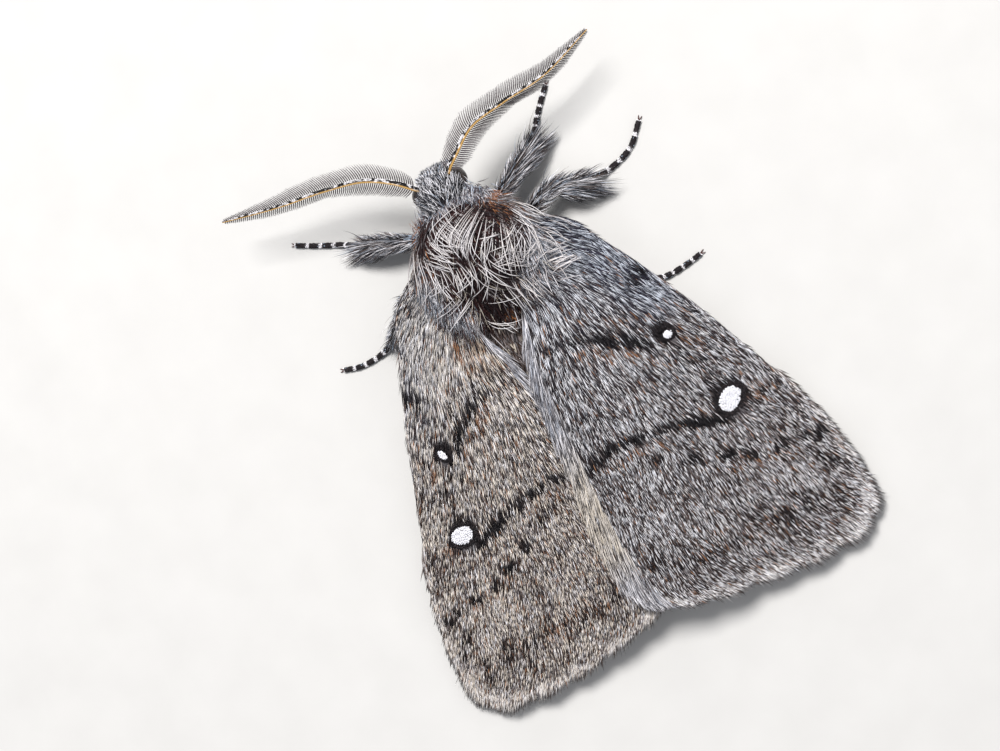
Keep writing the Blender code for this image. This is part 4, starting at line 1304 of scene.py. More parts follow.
@dataclass(frozen=True)
class Body:
    """Head, thorax and abdomen as one surface round the long axis, in mm.

    Each row is (y, half width, middle height, half height), from the face to the tail.
    """

    stations: tuple = (
        (6.45, 0.25, 4.5, 0.25), (6.3, 0.75, 4.5, 0.7), (5.9, 1.3, 4.6, 1.15), (5.2, 1.6, 4.7, 1.42),
        (4.5, 1.4, 4.75, 1.3), (4.05, 1.5, 4.8, 1.4), (3.6, 2.0, 4.85, 1.75), (2.6, 2.95, 4.9, 2.5),
        (1.2, 3.6, 4.9, 3.0), (-0.2, 3.75, 4.9, 3.1), (-1.6, 3.4, 4.85, 2.85), (-3.0, 2.8, 4.5, 2.5),
        (-3.9, 2.45, 4.1, 2.15), (-5.0, 2.6, 3.85, 2.3), (-7.0, 2.75, 3.6, 2.2), (-11.0, 2.6, 2.85, 2.0),
        (-14.0, 2.2, 2.2, 1.75), (-16.5, 1.75, 1.7, 1.4), (-18.6, 1.1, 1.1, 0.9),
        (-19.4, 0.5, 0.8, 0.45), (-19.6, 0.15, 0.75, 0.15),
    )
    shift: tuple = ((6.45, 0.1), (3.6, 0.1), (1.2, 0.38), (-1.6, 0.38), (-3.9, 0.05), (-19.6, 0.0))
    joints: tuple = (-3.9, -5.9, -7.9, -9.9, -11.8, -13.7, -15.5, -17.2)

    def point(self, y: Array, turn: Array, over: Array = 0.0) -> Array:
        """Points of the surface.

        Args:
            y: stations.
            turn: angles round the axis, 0 on the right and a quarter turn on top.
            over: height over the surface.

        Returns:
            middle(y) + (half width * cos, 0, half height * sin), raised along the oval's normal.
        """
        table = np.asarray(self.stations)[::-1]
        half, middle, tall = (cubic(table[:, 0], table[:, i], y) for i in (1, 2, 3))
        side = rows(self.shift[::-1], y)
        groove = sum(np.exp(-(((y - joint) / 0.16) ** 2)) for joint in self.joints[1:])
        half, tall = half * (1 - 0.03 * groove), tall * (1 - 0.04 * groove)
        x, z = half * np.cos(turn), tall * np.sin(turn)
        normal = unit(np.stack([x / half**2, np.zeros_like(x), z / tall**2], axis=-1))
        return np.stack([side + x, y + 0 * x, middle + z], axis=-1) + np.asarray(over)[..., None] * normal

    def spans(self, y: Array, turn: Array, step: float) -> tuple[Array, Array]:
        """How the surface runs backwards, and round it, over twice a small step."""
        back = self.point(y - step, turn) - self.point(y + step, turn)
        return back, self.point(y, turn + step) - self.point(y, turn - step)

    def normal(self, y: Array, turn: Array) -> Array:
        """Outward normals, from the surface's two directions."""
        return unit(np.cross(*self.spans(y, turn, 0.02)))

    def chart(self, y: Array, turn: Array) -> Array:
        """Places on the unwrap: along the body and round it."""
        round_it = (turn / (2 * np.pi) + 0.25) % 1
        return np.stack([0.01 + 0.97 * (6.5 - y) / 26.3, 0.01 + 0.97 * round_it], axis=-1)

    def scatter(
        self, count: int, front: float, back: float, low: float, high: float, seed: int
    ) -> tuple[Array, Array]:
        """Roots (y, turn) spread evenly over a band of the surface.

        Args:
            count: how many are wanted.
            front: station where the band starts.
            back: station where it ends.
            low: least angle.
            high: greatest angle.
            seed: for the draw.

        Returns:
            Stations and angles.
        """
        draw = np.random.default_rng(seed)
        number = np.arange(count * 3)
        y = front + (back - front) * ((number * SPREAD[0]) % 1)
        turn = low + (high - low) * ((number * SPREAD[1]) % 1)
        area = np.linalg.norm(np.cross(*self.spans(y, turn, 0.05)), axis=-1)
        kept = draw.random(len(y)) < area / np.percentile(area, 98)
        return y[kept][:count], turn[kept][:count]

    def combed(
        self, y: Array, turn: Array, length: Array, back: Array, round_it: Array, heights: Array
    ) -> tuple:
        """Paths of hairs that lie over the body.

        Args:
            y: stations of their roots.
            turn: angles of their roots.
            length: of each, in mm.
            back: share of the length that runs backwards.
            round_it: share that runs round the body, towards greater angles.
            heights: (n, k) over the surface from root to tip.

        Returns:
            The paths and the normals along them.
        """
        share = np.linspace(0, 1, heights.shape[1])
        step = 0.05
        stretch, girth = (np.linalg.norm(span, axis=-1) / (2 * step) for span in self.spans(y, turn, step))
        at_y = y[:, None] - (length * back / np.minimum(stretch, 2.5))[:, None] * share
        at_turn = turn[:, None] + (length * round_it / np.maximum(girth, 0.4))[:, None] * share
        at_y = np.clip(at_y, -19.55, 6.44)
        return self.point(at_y, at_turn, heights), self.normal(at_y, at_turn)

    def skin(self) -> tuple:
        """The skin on a grid of stations and angles, with both ends closed, and the palps.

        Returns:
            Points, triangles, tones and chart.
        """
        table = np.asarray(self.stations)
        y = cubic(np.arange(len(table), dtype=float), table[:, 0], np.linspace(0, len(table) - 1, 190))
        y, turn = np.meshgrid(y, np.linspace(-np.pi / 2, 1.5 * np.pi, 72, endpoint=False), indexing="ij")
        points = self.point(y, turn)
        belly = ease(-np.sin(turn), 0.2, 0.9)
        tone = mix(np.broadcast_to(DARK, points.shape), MAROON, 0.6 * noise(points, 1.1, 31))
        tone = mix(tone, BROWN, 0.5 * ease(-y, 3.5, 6.0) + 0.2 * belly)
        tone = mix(tone, BLACK, 0.9 * ease(y, 3.9, 4.5))
        chart = np.stack([0.01 + 0.97 * (6.5 - y) / 26.3, 0.01 + 0.9 * (turn / (2 * np.pi) + 0.25)], axis=-1)
        sheet = Sheet(*(capped(part) for part in (points, tone, chart)), round=True)
        parts = [sheet.arrays()]
        radii = np.array((0.22, 0.26, 0.27, 0.26, 0.24, 0.21, 0.17, 0.1))
        for side in Side:
            path = along(palp_places(side), np.linspace(0, 1, 8))
            spot = np.array((0.985, 0.1 + 0.1 * side.value, 0.012, 0.05))
            parts.append(tube(path, radii, np.tile(DARK, (8, 1)), 8, spot))
        return joined(parts)


BODY = Body()


@dataclass(frozen=True)
class Sweep:
    """White strands of the thorax that share a course, which is seen from above in mm.

    They start side by side, up to `near` off the course, and end up to 1.3 times `far` off it.
    `bow` is how far they tend to bow to a side between.
    """

    count: int
    course: tuple
    near: float
    far: float
    bow: float = 0.3


SWEEPS = (
    Sweep(15, ((-1.5, 3.7), (-1.6, 2.4), (-0.9, 1.0), (-0.1, -0.2)), 0.8, 0.7),
    Sweep(15, ((-3.1, 3.0), (-2.6, 1.7), (-1.6, 0.6), (-0.4, -0.6)), 0.7, 0.8),
    Sweep(12, ((-0.8, 4.2), (-0.8, 3.0), (-0.3, 1.7), (0.1, 0.7)), 0.8, 0.8),
    Sweep(10, ((-0.2, 4.3), (0.0, 3.4), (0.3, 2.5)), 0.6, 0.7),
    Sweep(12, ((-3.1, 3.2), (-3.4, 1.3), (-3.7, -0.3), (-4.1, -1.9)), 0.5, 0.7),
    Sweep(10, ((-2.3, 1.5), (-2.0, 0.1), (-2.3, -1.8)), 0.9, 0.9),
    Sweep(12, ((-2.5, 0.8), (-1.7, 0.1), (-1.4, -0.9), (-1.3, -2.2)), 1, 0.9),
    Sweep(13, ((-0.5, 0.6), (-0.3, -0.7), (-0.4, -1.7), (-0.8, -2.6)), 0.9, 0.9),
    Sweep(17, ((2.7, 3.3), (0.9, 2.4), (-0.3, 1.4), (-0.2, 0.0)), 0.5, 1),
    Sweep(16, ((3.1, 3.0), (1.7, 1.9), (0.4, 0.6), (-0.0, -0.7)), 0.5, 1.1),
    Sweep(14, ((3.3, 2.8), (2.9, 1.1), (2.1, -0.9), (1.5, -1.7)), 0.4, 1.2),
    Sweep(16, ((3.6, 2.8), (4.0, 0.5), (4.0, -1.1), (3.7, -3.2)), 0.5, 1),
    Sweep(9, ((3.4, 2.5), (4.6, 1.0), (5.6, -0.6)), 0.3, 0.5),
    Sweep(9, ((4.0, 1.4), (3.7, -0.5), (2.9, -1.6), (1.9, -1.6)), 0.7, 0.8),
    Sweep(12, ((0.9, 0.7), (1.2, -0.9), (2.2, -2.4), (3.3, -2.9)), 1, 1.1),
    Sweep(10, ((0.8, -0.1), (1.9, -0.1), (3.1, -0.0)), 1.3, 1.2),
    Sweep(10, ((2.3, -1.1), (3.5, -0.9), (4.7, -0.2)), 1.3, 1.2),
    Sweep(10, ((2.1, 0.7), (2.3, -1.0), (2.2, -2.2)), 1.4, 1.2),
    Sweep(9, ((4.0, -2.3), (5.2, -2.6), (6.7, -2.6)), 1.1, 0.9),
    Sweep(9, ((3.8, -3.0), (5.4, -3.1), (7.0, -3.4)), 0.9, 0.9),
    Sweep(10, ((4.4, 0.1), (5.5, -0.9), (6.4, -2.6)), 0.9, 0.9),
    Sweep(12, ((2.1, -1.7), (2.3, -3.2), (2.9, -5.6)), 1, 1.1),
    Sweep(7, ((3.8, -2.3), (3.5, -3.7), (3.6, -5.0)), 0.9, 0.9),
    Sweep(9, ((-0.4, -1.4), (-1.9, -2.1), (-4.2, -2.8)), 0.9, 1.2),
    Sweep(4, ((-1.3, -2.9), (-0.7, -4.0), (0.6, -4.8), (1.9, -5.0)), 0.5, 0.9),
    Sweep(4, ((-1.0, -4.2), (-0.2, -5.4), (0.4, -6.3)), 0.7, 0.9),
    Sweep(7, ((1.2, -0.8), (-0.0, -1.8), (-1.3, -2.6)), 1.2, 1.1),
    Sweep(6, ((1.4, -2.2), (1.8, -3.7), (2.2, -4.2)), 1.2, 1.2),
)


@dataclass
class Pelt:
    """The hair of head, thorax and abdomen.

    Each number is how many hairs there are: short ones over the whole thorax, dark wisps on its
    back, the collar behind the head, both shoulders, the head, its face, each palp, and the
    abdomen. The long hair lies over a dome round `middle` in the plan, with the half sizes `dome`
    along x, y and z, at the height `level`, and over the hollow between the wings at `hollow`.
    """

    undercoat: int = 7000
    wisps: int = 2600
    collar_hair: int = 1300
    shoulders: int = 4400
    head: int = 3400
    face_hair: int = 1900
    palp: int = 260
    abdomen: int = 4200
    middle: tuple = (0.4, -0.1)
    dome: tuple = (3.9, 4.5, 3.15)
    level: float = 4.9
    hollow: float = 6.3

    def cover(self, x: Array, y: Array) -> Array:
        """Height over which the thorax's long hair lies.

        Args:
            x: places across.
            y: places along.

        Returns:
            The greater of the thorax's dome and the wings behind it, and a lower level over the
            hollow between the wings' inner margins. The dome is level + tall * sqrt(1 - (x / wide)^2
            - (y / long)^2), from its middle.
        """
        wide, long, tall = self.dome
        across, ahead = (x - self.middle[0]) / wide, (y - self.middle[1]) / long
        dome = self.level + tall * np.sqrt(np.maximum(0.0, 1 - across**2 - ahead**2))
        margin = np.interp(y, (-12.0, -9.0, -6.6, -4.3, -2.4, 1.6), (-0.4, 0.2, 0.9, 1.6, 1.7, 2.2))
        front = np.interp(np.abs(x), (2.2, 4.6, 6.5, 8.0), (1.6, 0.9, -0.3, -2.7))
        raised = np.where(x > 0, ROOF.height(x, y, True), ROOF.height(x, y, False))
        behind = self.hollow + ease(np.abs(x) - margin, -0.3, 0.5) * (raised - self.hollow)
        return np.maximum(dome, self.level + (behind - self.level) * ease(y - front, 1.0, 0.0))

    def heading(self, spots: Array) -> Array:
        """Which way the close hair points on the thorax, as an angle from straight back.

        It leans in towards the middle on each side, and its locks wander.

        Args:
            spots: places from above.

        Returns:
            The angles: a lean that grows with tanh(x / 2) in front and the other way behind, and noise.
        """
        x, y = spots[..., 0] - self.middle[0], spots[..., 1]
        lean = -0.5 * np.tanh(x / 2.0) * ease(y, -2.5, 3.0) + 0.35 * np.tanh(x / 2.5) * ease(y, 0.5, -3.0)
        return lean + 1.3 * (noise(spots, 1.7, 51) - 0.5) + 0.5 * (noise(spots, 0.6, 52) - 0.5)

    def draped(
        self, start: Array, length: Array, heading: Array, bend: Array, lift: Array, points: int
    ) -> tuple:
        """Long hairs that lie over the thorax and the wing roots.

        Args:
            start: (n, 2) roots from above.
            length: of each.
            heading: angle of each at its root, from straight back.
            bend: how far it turns by its tip.
            lift: height of its tip over what it lies on.
            points: how many there are along it.

        Returns:
            Paths and the upward way along them.
        """
        share = np.linspace(0, 1, points)
        angle = heading[:, None] + bend[:, None] * (share[:-1] + share[1:]) / 2
        step = np.stack([np.sin(angle), -np.cos(angle)], axis=-1) * (length / (points - 1))[:, None, None]
        spots = np.concatenate([start[:, None], start[:, None] + np.cumsum(step, axis=1)], axis=1)
        return self.laid(spots, lift)

    def laid(self, spots: Array, lift: Array) -> tuple:
        """Paths over what lies below, from their places from above (n, k, 2).

        Args:
            spots: the places.
            lift: height of each tip over what it lies on; the root is half a millimetre below.

        Returns:
            Paths, held to a slope and bridged over hollows, and the upward way along them.
        """
        share = np.linspace(0, 1, spots.shape[1])
        level = self.cover(spots[..., 0], spots[..., 1])
        rise = -0.5 + (lift[:, None] + 0.5) * share**0.45
        paths = np.concatenate([spots, (level + rise)[..., None]], axis=-1)
        for step in range(1, len(share)):
            reach = np.linalg.norm(spots[:, step] - spots[:, step - 1], axis=-1)
            before = paths[:, step - 1, 2]
            climb = np.where(spots[:, step, 1] < -1.5, 0.7, 4.0) * reach + 0.25
            paths[:, step, 2] = np.clip(paths[:, step, 2], before - 2.0 * reach, before + climb)
        for _ in range(2):
            paths[:, 1:-1, 2] = np.maximum(paths[:, 1:-1, 2], (paths[:, :-2, 2] + paths[:, 2:, 2]) / 2)
        return paths, np.broadcast_to(UP, paths.shape)

    def roots(self, count: int, seed: int, front: float, back: float) -> Array:
        """Roots from above, spread over the thorax's dome.

        Args:
            count: how many are wanted.
            seed: for the draw.
            front: greatest y.
            back: least y.

        Returns:
            Places inside an oval a little smaller than the dome.
        """
        draw = np.random.default_rng(seed)
        spots = draw.uniform((-3.5, back), (4.3, front), (count * 3, 2))
        across, ahead = (spots[:, 0] - self.middle[0]) / 3.75, (spots[:, 1] - self.middle[1]) / 4.3
        inside = across**2 + ahead**2 < 0.97
        return spots[inside][:count]

    def sweep_strands(self, number: int, sweep: Sweep) -> Strands:
        """The white strands of one sweep, side by side, each with a bend and a slant of its own.

        Args:
            number: the sweep's number, for the draw.
            sweep: its course and count.

        Returns:
            The strands.
        """
        draw = np.random.default_rng(200 + number)
        count = sweep.count
        first, run = draw.uniform(0.0, 0.2, (count, 1)), draw.uniform(0.62, 0.85, (count, 1))
        share = first + run * np.linspace(0, 1, 9)
        spots = along(sweep.course, share)
        ahead = unit(spots[:, -1] - spots[:, 0])
        place = (2 * (np.arange(count) + draw.random(count)) / count - 1)[:, None]
        aside = place * (sweep.near * (1 - share) + 1.3 * sweep.far * share)
        aside = aside + sweep.bow * draw.normal(0, 0.7, (count, 1)) * np.sin(np.pi * share)
        aside = aside + draw.normal(0, 0.45, (count, 1)) * share
        spots = spots + aside[..., None] * np.stack([-ahead[:, 1], ahead[:, 0]], axis=-1)[:, None]
        lift = draw.uniform(0.45, 1.15, count)
        paths, ups = self.laid(spots, lift)
        light = mix(WHITE, CREAM, draw.random(count) * 0.4)
        light = mix(light, GREY, 0.24 + (draw.random(count) < 0.45) * 0.4)
        widths = draw.uniform(0.055, 0.08, count)
        return Strands(paths, widths, ups, shaded(light, 0.5, BROWN), self.flat_chart(spots[:, 0]), 0.8, 0.5)

    def thorax_long(self) -> list:
        """White strands in sweeps, with finer and darker wisps below them.

        Returns:
            A coat for each sweep, and the wisps.
        """
        made = [self.sweep_strands(number, sweep) for number, sweep in enumerate(SWEEPS)]
        draw = np.random.default_rng(73)
        start = self.roots(self.wisps, 74, 3.9, -3.0)
        count = len(start)
        heading = self.heading(start) + draw.normal(0, 0.22, count)
        length, bend = draw.uniform(1.6, 3.2, count), draw.normal(0, 0.5, count)
        paths, ups = self.draped(start, length, heading, bend, draw.uniform(0.05, 0.5, count), 6)
        pick = draw.random(count)
        red = draw.random(count) * (0.35 + 0.5 * ease(start[:, 0], 0.5, -2.0))
        light = mix(mix(BLACK, MAROON, red), GREY, (pick < 0.12) * draw.uniform(0.3, 1.0, count))
        light = mix(light, CREAM, (pick < 0.05) * 0.8)
        tones = shaded(light, 0.6, BLACK)
        made.append(Strands(paths, draw.uniform(0.05, 0.085, count), ups, tones, self.flat_chart(start), 0.8))
        return made

    def flat_chart(self, start: Array) -> Array:
        """The unwrap place of roots on the thorax's back."""
        turn = np.arccos(np.clip((start[:, 0] - self.middle[0]) / self.dome[0], -1, 1))
        return BODY.chart(start[:, 1], turn)

    def thorax_under(self) -> list:
        """Short dark hair over the whole thorax, rust on its left side, right shoulder and rear.

        Returns:
            One coat.
        """
        draw = np.random.default_rng(81)
        y, turn = BODY.scatter(self.undercoat, 4.2, -3.9, -np.pi / 2, 1.5 * np.pi, 82)
        count = len(y)
        stand = draw.random((count, 1))
        share = np.linspace(0, 1, 4)
        heights = -0.2 + (0.5 + 0.35 * stand) * share**0.6
        side = 0.5 * (noise(np.stack([y, turn * 3], axis=-1), 1.5, 83) - 0.5) + draw.normal(0, 0.15, count)
        paths, ups = BODY.combed(y, turn, draw.uniform(1.3, 2.2, count), np.full(count, 0.95), side, heights)
        root = paths[:, 0]
        rust = 0.8 * near_to(root[:, :2], (2.9, 3.1), 0.6) * (root[:, 2] > 4.6)
        left = 0.55 * np.exp(-(((root[:, 0] + 3.2) / 0.8) ** 2)) * ease(root[:, 2], 4.0, 6.0)
        rust = np.maximum(np.maximum(rust, left), 0.75 * near_to(root[:, :2], (1.2, -3.4), 1.0))
        pick = draw.random(count)
        below = ease(-np.sin(turn), -0.6, 0.1)
        tone = mix(BLACK, MAROON, draw.random(count) * 0.7)
        tone = mix(tone, RUST, (pick < rust) * draw.uniform(0.5, 1.0, count))
        tone = mix(tone, GREY, (draw.random(count) < 0.05 + 0.6 * below) * draw.uniform(0.4, 0.9, count))
        widths = draw.uniform(0.08, 0.13, count)
        return [Strands(paths, widths, ups, shaded(tone, 0.5, BLACK), BODY.chart(y, turn))]

    def collar(self) -> list:
        """Short grey hair between the head and the thorax, rust on the right shoulder.

        Returns:
            One coat.
        """
        draw = np.random.default_rng(77)
        count = self.collar_hair
        share = draw.random(count)
        start = along(((-2.7, 3.1), (-1.5, 4.0), (0.3, 4.5), (2.0, 4.2), (3.2, 3.2)), share)
        start = start + draw.normal(0, 0.22, (count, 2))
        outward = np.interp(share, (0, 0.5, 1), (-0.6, 0.0, 0.5))
        forward = draw.random(count) < 0.4 * ease(share, 0.85, 0.6)
        heading = outward + np.where(forward, np.pi, 0) + draw.normal(0, 0.35, count)
        length, bend = draw.uniform(0.5, 1.1, count), draw.normal(0, 0.4, count)
        paths, ups = self.draped(start, length, heading, bend, draw.uniform(0.1, 0.5, count), 5)
        pick = draw.random(count)
        rust = np.maximum(near_to(start, (3.0, 3.2), 0.45), 0.35 * ease(share, 0.2, 0.05))
        tone = frosted(draw, pick, 0.2)
        tone = mix(tone, mix(DARK, MAROON, draw.random(count)), (pick > 0.42) * draw.uniform(0.6, 1.0, count))
        tone = mix(tone, RUST, (draw.random(count) < rust) * draw.uniform(0.6, 1.0, count))
        tones = shaded(tone, 0.4)
        return [Strands(paths, draw.uniform(0.05, 0.08, count), ups, tones, self.flat_chart(start), 0.8)]

    def shoulder_hair(self) -> list:
        """Grey hair from each shoulder out over the wing roots.

        Returns:
            A coat for each side.
        """
        made = []
        for side in Side:
            draw = np.random.default_rng(90 + side.value)
            count = self.shoulders // 2
            share = draw.random(count)
            start = along(((1.9, -2.2), (3.3, -0.9), (3.7, 0.5), (3.4, 1.7), (2.8, 2.7)), share)
            start = start + draw.normal(0, 0.27, (count, 2))
            start[:, 0] = 0.2 + start[:, 0] if side is Side.RIGHT else 0.2 - start[:, 0] + 0.3
            out = np.interp(share, (0, 0.4, 0.7, 0.85, 1), (0.12, 0.3, 0.42, 0.8, 1.15)) * side.value
            heading = out + 0.5 * (noise(start, 0.9, 93) - 0.5) + draw.normal(0, 0.1, count)
            length = draw.uniform(1.4, 3.0, count) * (1 - 0.5 * ease(share, 0.7, 0.9))
            bend = draw.normal(0, 0.2, count) - 0.4 * out
            paths, ups = self.draped(start, length, heading, bend, draw.uniform(0.05, 0.4, count), 6)
            pick = draw.random(count)
            tone = frosted(draw, pick, 0.32)
            tone = mix(tone, mix(DARK, BLACK, pick), (pick > 0.52) * draw.uniform(0.6, 1.0, count))
            tone = mix(tone, BROWN, (draw.random(count) < 0.7 * ease(share, 0.6, 0.9)) * 0.8)
            tone = mix(tone, RUST, (draw.random(count) < 0.04) * 0.8)
            widths = draw.uniform(0.05, 0.078, count)
            made.append(Strands(paths, widths, ups, shaded(tone, 0.4), self.flat_chart(start), 0.8))
        return made

    def head_hair(self) -> list:
        """Bluish grey hair of the head, which stands forward between the antennae.

        Returns:
            The coats of the head, the face and both palps.
        """
        draw = np.random.default_rng(101)
        y, turn = BODY.scatter(self.head, 6.4, 3.7, -np.pi / 2, 1.5 * np.pi, 102)
        count = len(y)
        crown = ease(np.sin(turn), -0.1, 0.8)
        back = 0.5 - 1.45 * crown
        side = 0.7 * (noise(np.stack([y, turn * 1.5], axis=-1), 0.7, 103) - 0.5) + draw.normal(0, 0.2, count)
        share = np.linspace(0, 1, 4)
        length = draw.uniform(0.6, 1.1, count) * (0.65 + 0.7 * crown)
        stand = (0.25 + 0.6 * crown * draw.random(count))[:, None]
        paths, ups = BODY.combed(y, turn, length, back, side, -0.1 + (0.1 + stand) * share**0.8)
        clear = np.ones(count, dtype=bool)
        for middle in EYE_MIDDLES:
            clear &= np.linalg.norm((paths[:, -1] - middle) / EYE_ROOM, axis=-1) > 1.12
            off = (paths - middle) / EYE_ROOM
            far = np.linalg.norm(off, axis=-1, keepdims=True)
            paths = middle + off * np.maximum(1, 1 / np.maximum(far, 0.05)) * EYE_ROOM
        cheek = (np.abs(paths[:, 0, 0] - 0.1) > 1.0) & (paths[:, 0, 1] > 4.75)
        keep = clear & (paths[:, -1, 2] > 3.0 + 1.5 * cheek)
        pick = draw.random(count)
        tone = mix(frosted(draw, pick, 0.3), BLACK, (pick > 0.36) * draw.uniform(0.88, 1.0, count))
        coat = Strands(paths, draw.uniform(0.045, 0.07, count), ups, shaded(tone, 0.35), BODY.chart(y, turn))
        return [thinned(coat, np.flatnonzero(keep)), self.face(), *(self.palp_hair(side) for side in Side)]

    def palp_hair(self, side: Side) -> Strands:
        """Short hair that stands off a palp on all sides and leans forward.

        Args:
            side: which palp.

        Returns:
            The strands.
        """
        draw = np.random.default_rng(110 + side.value)
        count = self.palp
        along_it = draw.random(count)
        across, level, tall = draw.normal(0, 1, count), draw.normal(0, 1, count), draw.normal(0, 1, count)
        away = unit(np.stack([across, 0.2 * level, tall], axis=-1))
        start = along(palp_places(side), along_it) + 0.2 * away
        tip = start + 0.16 * away + np.array((0, 0.25, -0.15))
        paths = start[:, None] + (tip - start)[:, None] * np.linspace(0, 1, 4)[:, None]
        tone = mix(GREY, SILVER, draw.random(count))
        tone = mix(tone, DARK, (draw.random(count) < 0.5) * 0.8)
        chart = np.stack([0.99 + 0 * along_it, 0.1 + 0.1 * side.value + 0.05 * along_it], axis=-1)
        ups = np.repeat(away[:, None], 4, axis=1)
        return Strands(paths, np.full(count, 0.07), ups, shaded(tone, 0.4), chart)

    def face(self) -> Strands:
        """Close hair that hangs down over the front of the head, between the eyes.

        Returns:
            The strands.
        """
        draw = np.random.default_rng(131)
        count = self.face_hair
        out = draw.random(count) ** 0.75
        turn = draw.uniform(0, 2 * np.pi, count)
        y = np.interp(out, (0.0, 0.35, 1.0), (6.44, 6.36, 5.75))
        root = BODY.point(y, turn)
        normal = unit(root - (0.1, 5.0, 4.5))
        side = 0.25 * (root[:, 0] - 0.1) + draw.normal(0, 0.16, count)
        down = unit(np.stack([side, 0.1 + 0.25 * draw.random(count), np.full(count, -0.8)], axis=-1))
        share = np.linspace(0, 1, 4)
        length = draw.uniform(0.45, 0.85, count)[:, None, None]
        lift = 0.3 * normal + (0, 0.18, 0)
        fall = length * share[:, None] * down[:, None]
        paths = root[:, None] + fall + lift[:, None] * np.sqrt(share)[:, None]
        pick = draw.random(count)
        tone = mix(frosted(draw, pick, 0.3), BLACK, (pick > 0.45) * draw.uniform(0.8, 1.0, count))
        ups = np.repeat(unit(normal + (0, 0.4, 0))[:, None], 4, axis=1)
        coat = Strands(paths, draw.uniform(0.05, 0.08, count), ups, shaded(tone, 0.35), BODY.chart(y, turn))
        return thinned(coat, np.flatnonzero(np.abs(root[:, 0] - 0.1) < 0.92))

    def abdomen_hair(self) -> list:
        """Brown-grey hair of the abdomen, longer at its sides and its end.

        Returns:
            One coat.
        """
        draw = np.random.default_rng(121)
        y, turn = BODY.scatter(self.abdomen, -3.6, -19.5, -np.pi / 2, 1.5 * np.pi, 122)
        count = len(y)
        end = ease(-y, 16.5, 19.0)
        flank = np.exp(-((np.sin(turn) / 0.5) ** 2))
        length = draw.uniform(0.8, 1.3, count) * (1 + 0.6 * flank + 1.3 * end)
        low = ease(np.sin(turn), -0.9, -0.3)
        share = np.linspace(0, 1, 4)
        lift = (0.12 + 0.35 * draw.random(count) * (0.35 + 0.65 * low) + 0.3 * flank)[:, None]
        side = 0.5 * (noise(np.stack([y, turn * 2.5], axis=-1), 1.2, 123) - 0.5) + draw.normal(0, 0.15, count)
        heights = -0.1 + (0.1 + lift) * share**0.7
        paths, ups = BODY.combed(y, turn, length, np.full(count, 0.95), side, heights)
        over = np.maximum(0.0, (length * end)[:, None] * share * 0.9)
        paths[..., 1] = np.minimum(paths[..., 1], y[:, None] - over)
        paths[..., 2] = np.maximum(paths[..., 2], HAIR_FLOOR)
        edge = np.min([np.abs(y - joint + 0.3) for joint in BODY.joints], axis=0) < 0.35
        tone = mix(mix(BROWN, DARK, draw.random(count)), GREY, draw.random(count) * 0.6)
        tone = mix(tone, CREAM, (edge & (draw.random(count) < 0.4)) * 0.6)
        widths = draw.uniform(0.09, 0.15, count)
        return [Strands(paths, widths, ups, shaded(tone, 0.45), BODY.chart(y, turn))]

    def make(self) -> None:
        """Builds the body's skin and its coats."""
        nodes = ("thorax", "head", "abdomen", "palp_left", "palp_right")
        show(new_mesh("body_skin", *BODY.skin(), SKIN), nodes)
        pieces = {
            "thorax_long_hair": ("thorax", self.thorax_long() + self.collar()),
            "thorax_shoulder_hair": ("thorax", self.shoulder_hair()),
            "thorax_undercoat": ("thorax", self.thorax_under()),
            "head_hair": ("head", self.head_hair()),
            "abdomen_hair": ("abdomen", self.abdomen_hair()),
        }
        for name, (slot, parts) in pieces.items():
            show(new_mesh(name, *joined([part.arrays() for part in parts]), HAIR))


# Antennae


